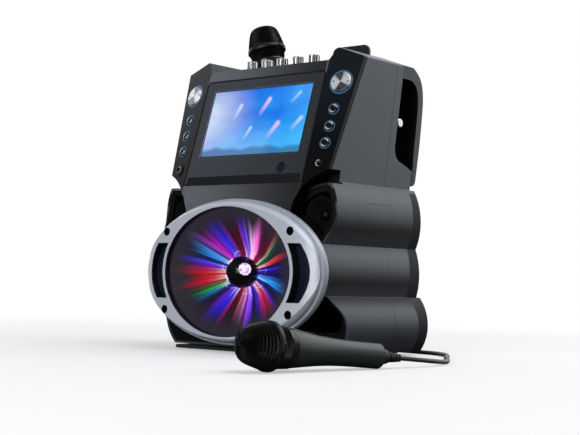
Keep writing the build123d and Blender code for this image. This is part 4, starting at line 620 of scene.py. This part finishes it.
# silver oval ring
ring = {"window": (95.9, 73.8), "slotOut": (121.7, 72.2), "slotIn": (100.8, 78.8), "slotHalf": 32.4,
        "holes": (95.0, 45.6, 4.95), "frontY": -94, "face": (ink(184, 191, 204), ink(200, 206, 217)),
        "flake": ink(226, 232, 240), "flank": ink(166, 173, 184), "wall": ink(20, 20, 24)}


def ringPaint():
    finish = Finish("ringSilver", ink(190, 197, 208), 0.42, Metallic=0.2)
    x, y, z = finish.place()
    high = z - machine["ringZ"]
    flake = finish.noise(2600, 1)
    slow = finish.noise(11, 2)
    colour = finish.mixed(finish.mixed(*ring["face"], slow), ring["flake"], flake * 0.3)
    # painted shade: the ring darkens over its flank towards the back
    colour = finish.mixed(colour, ring["flank"], (y - ring["frontY"]).ramp(0.0, 3.0))

    def within(across, up):
        return ((x / across) ** 2 + (high / up) ** 2).root()

    holeX, holeZ, holeR = ring["holes"]
    holes = ((abs(x) - holeX) ** 2 + (abs(high) - holeZ) ** 2).root() < holeR
    slots = (within(*ring["slotOut"]) < 1.004) * (within(*ring["slotIn"]) > 0.996) * (abs(high) < ring["slotHalf"])
    # painted shade: the screw holes, the window's wall and the slots' walls painted dark
    wallShade = holes.high(within(*ring["window"]) < 1.003).high(slots)
    return finish.set({"Base Color": finish.mixed(colour, ring["wall"], wallShade), "Roughness": slow * 0.08 + 0.38,
                       "Metallic": 0.16 - wallShade * 0.16}).bump(flake, 0.06, 0.00008)


# the light show: bowl, ball and the colours of the rays round it
show = {"a": 95.6, "b": 73.5, "z": 92, "ballY": -69.5, "ballR": 18.5, "shift": 0.5,
        "dark": ink(15, 12, 21), "rim": ink(42, 38, 47),
        "hues": (
            (0.0, ink(214, 34, 58)), (0.05, ink(210, 30, 80)), (0.075, ink(40, 200, 120)), (0.10, ink(30, 120, 190)),
            (0.135, ink(150, 60, 220)), (0.17, ink(50, 70, 235)), (0.205, ink(225, 40, 60)), (0.24, ink(250, 190, 230)),
            (0.27, ink(190, 110, 250)), (0.31, ink(70, 80, 240)), (0.355, ink(230, 50, 80)), (0.40, ink(60, 80, 240)),
            (0.445, ink(60, 200, 245)), (0.49, ink(120, 70, 240)), (0.53, ink(90, 80, 245)), (0.56, ink(235, 40, 70)),
            (0.60, ink(60, 220, 180)), (0.635, ink(230, 60, 90)), (0.67, ink(235, 50, 190)), (0.72, ink(250, 215, 255)),
            (0.75, ink(120, 90, 240)), (0.785, ink(240, 50, 60)), (0.83, ink(60, 80, 240)), (0.88, ink(215, 60, 210)),
            (0.925, ink(60, 190, 245)), (0.965, ink(120, 70, 230)), (1.0, ink(214, 34, 58)))}


def showGlow():  # coloured rays from the ball over the reflector
    finish = Finish("showGlow", ink(6, 5, 8), 0.55, Specular_IOR_Level=0.08)
    x, y, z = finish.place()
    u, w = (x + (y - show["ballY"]) * show["shift"]) / show["a"], (z - show["z"]) / show["b"]
    theta = w.angle(u)
    rho = (u * u + w * w).root() / (1 - theta.calc("COSINE") * 0.11)
    hues = finish.colours(theta / (2 * pi) + 0.5, *show["hues"])
    hues = finish.mixed(hues, hues, 0.8, "MULTIPLY")
    aim = finish.vector(theta.calc("COSINE"), theta.wave(), rho * 0.04)
    broad, fine, reach = finish.noise(4.6, 1, aim), finish.noise(19, 2, aim), finish.noise(7.5, 1, aim)
    wedges = (broad.ramp(0.40, 0.57) * 0.93 + 0.07) * (fine.ramp(0.30, 0.58) * 0.55 + 0.45)
    length = reach * 0.5 + 0.68
    fade = (1 - (rho / length).ramp(0.34, 1.0)) * rho.ramp(0.14, 0.24)
    core = 1 - rho.ramp(0.20, 0.46)
    power = wedges * fade * 1.75 + core * fine * 0.35
    glow = finish.mixed(finish.mixed(show["dark"], show["rim"], rho.ramp(0.55, 0.98)), hues, power.low(1))
    hot = finish.mixed(glow, (1, 0.84, 1), (power - 1.1).ramp(0.0, 0.8) * (0.12 + core * 0.6))
    cusp = abs((theta * 3.5 + 0.9).wave()) * 0.12 + 0.225
    arcs = (1 - (abs(rho - cusp) / 0.012).ramp(0.25, 1.0)) * broad.ramp(0.36, 0.60)
    hot = finish.mixed(hot, finish.mixed(hues, (1, 0.8, 0.92), 0.55), arcs * 0.85)
    outward = finish.node("SeparateXYZ", {}, {0: finish.node("TexCoord", {}, {}, "Normal")}, "Y")
    hot = finish.mixed((0, 0, 0), hot, outward < -0.02)  # the bowl's back stays dark
    return finish.set({"Emission Color": hot, "Emission Strength": 1.15})


ringPaint().on("ring_bezel")
showGlow().on("light_bowl")
clearLens = Finish("clearLens", (0.02, 0.02, 0.025), 0.03)
clearLens.set({"Alpha": clearLens.noise(12, 1) * 0.02 + 0.04}).on("window_lens")
ballGloss = Finish("ballGloss", ink(4, 4, 5), 0.10, Specular_IOR_Level=0.3)
cells = ballGloss.node("TexVoronoi", {"feature": "DISTANCE_TO_EDGE"}, {"Vector": ballGloss.spot(), "Scale": 150},
                       "Distance")
ballGloss.set({"Base Color": ballGloss.mixed(ink(10, 9, 14), ink(3, 3, 4), cells.ramp(0.0, 0.10)),
               "Roughness": 0.16 - cells.ramp(0, 0.2) * 0.08})
ballGloss.bump(cells.ramp(0, 0.2), 0.25, 0.0006).on("disco_ball")

# crystals and nose hub of the ball, radius and height in millimetres
crystals = {"cut": ((7.6, -0.9), (7.4, -0.1), (5.9, 0.62), (3.4, 0.9), (1.4, 0.96)), "sides": 10, "twist": 18,
            "main": ((0.772, -0.587, 0.194), 1.0, 1.2),  # way out, size and lift
            # the two small glowing crystals sit where the ball's rim shows glints: painted glints
            "small": ((-0.62, -0.68, -0.39), 0.55, 0.9), "otherSmall": ((-0.45, -0.62, 0.64), 0.55, 0.9),
            "hub": ((7.2, -0.1), (7.2, 0.5), (5.2, 1.0), (2.4, 1.2), (0.8, 1.22)), "hubOut": 1.2,
            "facets": ((0.0, ink(150, 120, 170)), (0.2, ink(214, 170, 226)), (0.45, ink(250, 226, 250)),
                       (1.0, ink(255, 250, 255)))}


def crystalGlow():  # bright facets with a few pale violet and dark ones
    finish = Finish("crystalGlow", (0.3, 0.3, 0.32), 0.08)
    tone = finish.node("TexVoronoi", {}, {"Vector": finish.spot(), "Scale": 420}, "Color")
    shade = finish.colours(finish.node("SeparateXYZ", {}, {0: tone}, "X"), *crystals["facets"])
    return finish.set({"Emission Color": shade, "Emission Strength": 1.0})


def crystalPlace(key):
    way, size, _ = crystals[key]
    out = Vector(way).normalized()
    across = out.cross(Vector((0, 0, 1))).normalized()
    reach = show["ballR"] - (crystals["cut"][0][0] * size) ** 2 / 2 / show["ballR"] - 0.1
    return framed(Vector((0, show["ballY"], show["z"])) + out * reach, across, out.cross(across), out)


def cutCrystal(name, key, glow):
    _, size, lift = crystals[key]
    profile = [(r * size, h * size + lift * (h > -0.5)) for r, h in crystals["cut"]]
    piece = turned(name, profile, crystals["sides"], radians(crystals["twist"]))
    return finishOff(piece, "light_ball", glow, crystalPlace(key), 0)


def setCrystals():
    glow = crystalGlow()
    cutCrystal("ballCrystal1", "main", glow)
    small = cutCrystal("ballCrystal2", "small", glow)
    across = crystalPlace("otherSmall") @ crystalPlace("small").inverted()
    copied(small, "ballCrystal3", "light_ball", across)
    hub = turned("ballHub", crystals["hub"], 24)
    nose = Vector((0, show["ballY"] - show["ballR"] + crystals["hubOut"], show["z"]))
    place = framed(nose, Vector((1, 0, 0)), Vector((0, 0, 1)), Vector((0, -1, 0)))
    finishOff(hub, "light_ball", ballGloss, place, 30)


setCrystals()
plastic("motorSteel", ink(150, 152, 156), 0.35).on("ball_motor")
plastic("slotNavy", ink(20, 23, 44), 0.16, 0.03).on("side_lights")
plastic("screwBlack", ink(6, 6, 7), 0.5, 0.1, Specular_IOR_Level=0.15).on("ring_screws")
print("shells, screen and light show finished")

# control columns: places across and up each, and radii, in millimetres
controls = {"dial": (22.0, 120.1), "marks": ((9, 0), (-9, 0), (0, 9), (0, -9)), "markR": 0.95,
            "dialDark": {-1: ink(150, 154, 160), 1: ink(84, 88, 96)}, "dialLight": ink(250, 252, 255),
            "buttons": ((19.9, 87.6), (19.4, 66.8), (18.5, 46.5)), "crescentGlint": ink(236, 239, 243),
            "jack": (16.4, 22.3), "jackR": 3.9, "jackDeep": 3, "boreHighlight": ink(226, 228, 232),
            "foot": ink(2, 2, 3), "top": ink(21, 24, 31)}


def dialPaint(side, name):  # spun face with a painted highlight in a fan, four dark marks
    finish = Finish("dialSpun" + name.title(), ink(205, 209, 214), 0.24, Metallic=0.55)
    centre = onColumn(side, controls["dial"], 2.2)
    _, across, up, _ = columnAxes(side)
    a, b = finish.along(centre, across, up)
    r, theta = (a * a + b * b).root(), b.angle(a)
    highlightFan = (theta * 2 + 0.9).wave() * 0.5 + (theta * 5 + 1.3).wave() * 0.18 + 0.5
    grooves = (r * 26).wave()
    colour = finish.mixed(controls["dialDark"][side], controls["dialLight"], highlightFan.ramp(0.15, 0.8))
    marks = sum(((a - px) ** 2 + (b - py) ** 2).root() < controls["markR"] for px, py in controls["marks"])
    finish.set({"Base Color": finish.mixed(colour, ink(14, 14, 16), marks), "Roughness": grooves * 0.05 + 0.22})
    return finish.bump(grooves, 0.12, 0.00008)


def buttonPaint(side, name, number):  # glossy black with a thin chrome rim, painted bright as a highlight crescent on either side of its middle
    finish = plastic(f"button{name.title()}{number}", ink(10, 10, 12), 0.12, 0.02)
    centre = onColumn(side, controls["buttons"][number - 1], 1.8)
    _, across, up, _ = columnAxes(side)
    a, b = finish.along(centre, across, up)
    r, theta = (a * a + b * b).root(), b.angle(a)
    highlightFan = ((theta * 2 - 0.6 * side).wave() * 0.5 + 0.5).ramp(0.35, 0.85)
    crescentGlint = highlightFan * r.ramp(3.2, 3.8) * (1 - r.ramp(4.6, 5.1))
    colour = finish.mixed(ink(9, 9, 11), controls["crescentGlint"], crescentGlint)
    return finish.set({"Base Color": colour, "Metallic": crescentGlint * 0.5})


def jackBoreGlint(finish, side):  # a socket's chrome bore, painted bright on one half as a highlight
    centre = onColumn(side, controls["jack"])
    _, across, up, out = columnAxes(side)
    a, b, c = finish.along(centre, across, up, out)
    return ((a * a + b * b).root() < controls["jackR"]) * (c > -controls["jackDeep"]) * (a < 0.5)


for side, name in ((-1, "left"), (1, "right")):
    dialPaint(side, name).on("dial_" + name)
    for number in (1, 2, 3):
        buttonPaint(side, name, number).on(f"button_{name}_{number}")
column = plastic("columnBlack", ink(8, 9, 11), 0.24, 0.08, Specular_IOR_Level=0.22)
# painted shading: the columns darker towards the foot and lighter towards the top
column.set({"Base Color": column.mixed(controls["foot"], controls["top"], column.place()[2].ramp(215, 330))})
column.on("control_panel_left", "control_panel_right")
ringGlow = Finish("ringGlow", ink(46, 74, 104), 0.22, Emission_Strength=0.3)
blues = ringGlow.mixed(ink(44, 88, 138), ink(84, 158, 194), ringGlow.noise(30, 1))
ringGlow.set({"Emission Color": blues}).on("light_rings")
jack = plastic("jackBlack", ink(16, 16, 18), 0.28, 0.05)
boreGlint = sum(jackBoreGlint(jack, side) for side in (-1, 1))
jack.set({"Base Color": jack.mixed(ink(9, 9, 10), controls["boreHighlight"], boreGlint), "Metallic": boreGlint * 0.4,
          "Roughness": 0.3 - boreGlint * 0.08}).on("mic_jacks")

knobs = {"pitch": 24.1, "y": -8.5, "r": 6.9, "fluteZ": (336.6, 346.8), "pointerZ": 347.3, "chrome": ink(178, 181, 187)}


def knobPaint(number):  # chromed, dark in the flutes
    finish = Finish(f"knobChrome{number}", knobs["chrome"], 0.16, Metallic=1.0)
    x, y, z = finish.place()
    x, y = x - (number - 3) * knobs["pitch"], y - knobs["y"]
    r = (x * x + y * y).root()
    flute = (1 - (r / knobs["r"]).ramp(0.93, 0.985)) * z.inside(*knobs["fluteZ"])
    pointer = (abs(x) < 0.75) * (y < 0) * (z > knobs["pointerZ"])
    dark = (flute + pointer).low(1)
    return finish.set({"Base Color": finish.mixed(knobs["chrome"], ink(14, 14, 16), dark),
                       "Roughness": finish.noise(500, 2) * 0.08 + 0.12, "Metallic": 1 - dark * 0.8})


for number in range(1, 6):
    knobPaint(number).on(f"knob_{number}")

# inside pieces
boards = {"mask": ink(24, 92, 56), "tracks": ink(150, 128, 60), "cans": ink(150, 154, 158), "chips": ink(24, 24, 30),
          "partsZ": 21.7, "cansX": 5}
board = Finish("boardGreen", ink(22, 84, 52), 0.45)
bricks = {"Vector": board.spot(), "Scale": 260.0, "Mortar Size": 0.018}
tracks = board.node("TexBrick", {"offset": 0.5}, bricks, "Fac") * 0.55
board.set({"Base Color": board.mixed(boards["mask"], boards["tracks"], tracks)}).on("switch_boards", "mixer_board")
mainBoard = Finish("mainBoard", ink(22, 84, 52), 0.42)
x, _, z = mainBoard.place()
parts = z > boards["partsZ"]
partTint = mainBoard.mixed(boards["cans"], boards["chips"], x > boards["cansX"])
mainBoard.set({"Base Color": mainBoard.mixed(boards["mask"], partTint, parts),
               "Metallic": parts * (x < boards["cansX"])}).on("main_board")
plastic("drivePlastic", ink(34, 34, 37), 0.5).on("loader_chassis", "traverse_deck")
plastic("gearNylon", ink(222, 219, 208), 0.45, 0.1).on("tray_gear", "clamp_puck")
metal("pinionBrass", ink(190, 160, 96), 0.3).on("motor_pinion")
metal("steel", ink(172, 175, 179), 0.28).on("tray_motor", "sled_rods", "turntable")
sled = {"black": ink(26, 26, 29), "lens": ink(60, 40, 110), "lensZ": 192.55}
sledBlack = plastic("sledBlack", sled["black"], 0.4)
lens = sledBlack.place()[2] > sled["lensZ"]
sledBlack.set({"Base Color": sledBlack.mixed(sled["black"], sled["lens"], lens),
               "Roughness": 0.42 - lens * 0.36}).on("pickup_sled")

speaker = {"x": 104.5, "z": 157.5, "capR": 7.4, "coneR": 17.4, "cone": ink(5, 5, 6), "cap": ink(3, 3, 4)}


def speakerPaint(name, side):  # paper cone, rubber surround, glossy cap
    finish = plastic(name + "Cone", speaker["cone"], 0.75, 0.5, 700, Specular_IOR_Level=0.15)
    x, _, z = finish.place()
    r = ((x - side * speaker["x"]) ** 2 + (z - speaker["z"]) ** 2).root()
    cap = r < speaker["capR"]
    finish.set({"Base Color": finish.mixed(speaker["cone"], speaker["cap"], cap + (r > speaker["coneR"])),
                "Roughness": 0.8 - cap * 0.35})
    return finish.bump((r * 4.2).wave() * (1 - cap), 0.4, 0.0004).on(name)


speakerPaint("speaker_left", -1)
speakerPaint("speaker_right", 1)

sockets = {"places": ((30, 92, ink(214, 214, 210)), (30, 76, ink(176, 30, 34)),
                      (12, 92, ink(214, 214, 210)), (12, 76, ink(216, 176, 40))),
           "collarR": (3.9, 5.6), "barrelR": (1.9, 3.9), "barrel": ink(196, 190, 172), "panel": ink(24, 25, 27)}


def rearPanelPaint():  # socket collars in white, red and yellow, bright barrels
    finish = plastic("rearPanelBlack", sockets["panel"], 0.38)
    x, _, z = finish.place()
    colour, bright = sockets["panel"], 0
    for px, pz, tint in sockets["places"]:
        r = ((x - px) ** 2 + (z - pz) ** 2).root()
        colour = finish.mixed(colour, tint, r.inside(*sockets["collarR"]))
        bright = r.inside(*sockets["barrelR"]) + bright
    colour = finish.mixed(colour, sockets["barrel"], bright)
    return finish.set({"Base Color": colour, "Metallic": bright * 0.9, "Roughness": 0.38 - bright * 0.14})


rearPanelPaint().on("rear_jack_panel")
print("controls and inside pieces finished")

# microphones
handle = {"dark": ink(37, 43, 43), "pale": ink(50, 56, 57), "collar": ink(20, 22, 24), "collarS": (46.5, 53.7)}
plugs = {"bright": ink(198, 190, 168), "sleeve": ink(20, 20, 22), "sleeveX": -19.6}


def micPaint(name):  # satin green-grey with a glossy dark collar under the head
    finish = plastic(name + "Satin", ink(42, 48, 48), 0.34, 0.3, 1900)
    place = micPlaces[name]
    (s,) = finish.along(place.translation / mm, place.col[2].to_3d())
    collar = s.inside(*handle["collarS"])
    skin = finish.mixed(handle["dark"], handle["pale"], finish.noise(14, 2))
    return finish.set({"Base Color": finish.mixed(skin, handle["collar"], collar), "Roughness": 0.36 - collar * 0.2})


micPaint("holderMic").on("holder_mic_body")
micPaint("floorMic").on("floor_mic_body")
plastic("switchNavy", ink(24, 26, 48), 0.3, 0.1).on("holder_mic_switch", "floor_mic_switch")
plastic("bootRubber", ink(24, 24, 26), 0.55, 0.3, 900).on("mic_boot")
plug = metal("plugMetal", ink(180, 182, 186), 0.22)
sleeve = plug.place()[0] > plugs["sleeveX"]
plug.set({"Base Color": plug.mixed(plugs["bright"], plugs["sleeve"], sleeve), "Metallic": 1 - sleeve,
          "Roughness": sleeve * 0.2 + 0.2}).on("mic_plug")
meshBlack = plastic("meshBlack", ink(15, 16, 18), 0.36, 0.1, Metallic=0.4)
foamBlack = plastic("foamBlack", ink(5, 5, 6), 0.9, 0.6, 500, Specular_IOR_Level=0.1)
collarGloss = plastic("collarGloss", ink(12, 13, 15), 0.22, 0.05)
bandBlack = plastic("bandBlack", ink(9, 9, 10), 0.42, 0.1, Specular_IOR_Level=0.35)

head = {"dome": ((3.0, 0.45), (6.5, 0.9), (9.6, 1.4), (12.4, 2.3), (14.7, 3.6), (16.5, 5.6), (17.7, 8.2), (18.7, 11.2),
                 (19.6, 14.6), (20.45, 18.0), (21.3, 21.5), (22.0, 25.0), (22.5, 28.6)),
        "basket": ((21.9, 33.4), (21.45, 35.8), (21.0, 38.2), (20.55, 40.6), (20.1, 43.0), (19.8, 45.4)), "wire": 0.84,
        "foam": ((2.0, 1.7), (9, 2.6), (13.2, 4.5), (15.9, 8), (17.4, 12.5), (21.1, 28), (20.9, 33), (18.9, 45.6)),
        "band": ((21.9, 28.6), (23.3, 28.8), (23.6, 29.2), (23.6, 32.8), (23.3, 33.2), (21.9, 33.4)),
        "collar": ((18.6, 45.3), (19.8, 45.4), (19.9, 45.8), (19.8, 47.1), (18.0, 47.1)),
        "lobe": (9, 1.5, 3.6)}  # width, how far it stands out and thickness


def makeHead():  # the head of the standing microphone, copied to the lying one
    wide, proud, thick = head["lobe"]
    weave = [("WIREFRAME", {"thickness": head["wire"] * mm, "offset": -1.0, "use_even_offset": False})]
    pieces = [(turned("holderMicDome", head["dome"], 72, radians(2.5)), meshBlack, weave),
              (turned("holderMicBasket", head["basket"], 64, radians(2.8), closed=False), meshBlack, weave),
              (turned("holderMicFoam", head["foam"], 40), foamBlack, ()),
              (turned("holderMicBand", head["band"], 72, closed=False), bandBlack, ()),
              (turned("holderMicCollar", head["collar"], 64, closed=False), collarGloss, ())]
    lobes = startOn("holderMicLobes", bpy.ops.mesh.primitive_cube_add, size=1)
    size = (wide * mm, 2 * (mic["ringR"] + proud) * mm, thick * mm)
    bpy.ops.transform.resize(value=size, center_override=(0, 0, 0))
    bpy.ops.transform.translate(value=(0, 0, (mic["ringS"] + 2) * mm))
    bpy.ops.mesh.bevel(offset=0.8 * mm, segments=3, affect="EDGES")
    return pieces + [(lobes, bandBlack, ())]


toFloor = micPlaces["floorMic"] @ micPlaces["holderMic"].inverted()
for piece, material, modifiers in makeHead():
    finishOff(piece, "standing_mic", material, micPlaces["holderMic"], 40, modifiers)
    copied(piece, piece.name.replace("holder", "floor"), "floor_mic", toFloor)
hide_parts("holder_mic_head")
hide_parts("floor_mic_head")
print("microphone heads woven")

tie = {"inner": 16.8, "outer": 38.8, "top": 20.9, "wide": 13, "corner": 4, "thick": 0.9, "turn": 20, "lift": 0.1}


def tieCoil():  # a hook-and-loop band round the coil's turns
    piece = startOn("coilTie", bpy.ops.mesh.primitive_plane_add, size=1)
    size = ((tie["outer"] - tie["inner"]) * mm, tie["top"] * mm, 1)
    bpy.ops.transform.resize(value=size, center_override=(0, 0, 0))
    bpy.ops.mesh.bevel(offset=tie["corner"] * mm, segments=6, affect="VERTICES")
    bpy.ops.mesh.select_all(action="SELECT")
    bpy.ops.mesh.delete(type="ONLY_FACE")
    bpy.ops.mesh.select_all(action="SELECT")
    bpy.ops.mesh.extrude_edges_move(TRANSFORM_OT_translate={"value": (0, 0, tie["wide"] * mm)})
    bpy.ops.mesh.select_all(action="SELECT")
    bpy.ops.mesh.normals_make_consistent(inside=False)
    angle, up = radians(tie["turn"]), Vector((0, 0, 1))
    out = Vector((-cos(angle), -sin(angle), 0))
    side = up.cross(out)
    spot = Vector((*cord["coil"], tie["top"] / 2 + tie["lift"])) + side * (tie["wide"] / 2)
    spot += out * (tie["inner"] + tie["outer"]) / 2
    weave = plastic("tieBlack", ink(20, 20, 22), 0.8, 0.6, 800, 0.05)
    wall = [("SOLIDIFY", {"thickness": tie["thick"] * mm, "offset": -1.0})]
    finishOff(piece, "machine", weave, framed(spot, out, up, -side), 40, wall)


tieCoil()
bpy.context.view_layer.update()
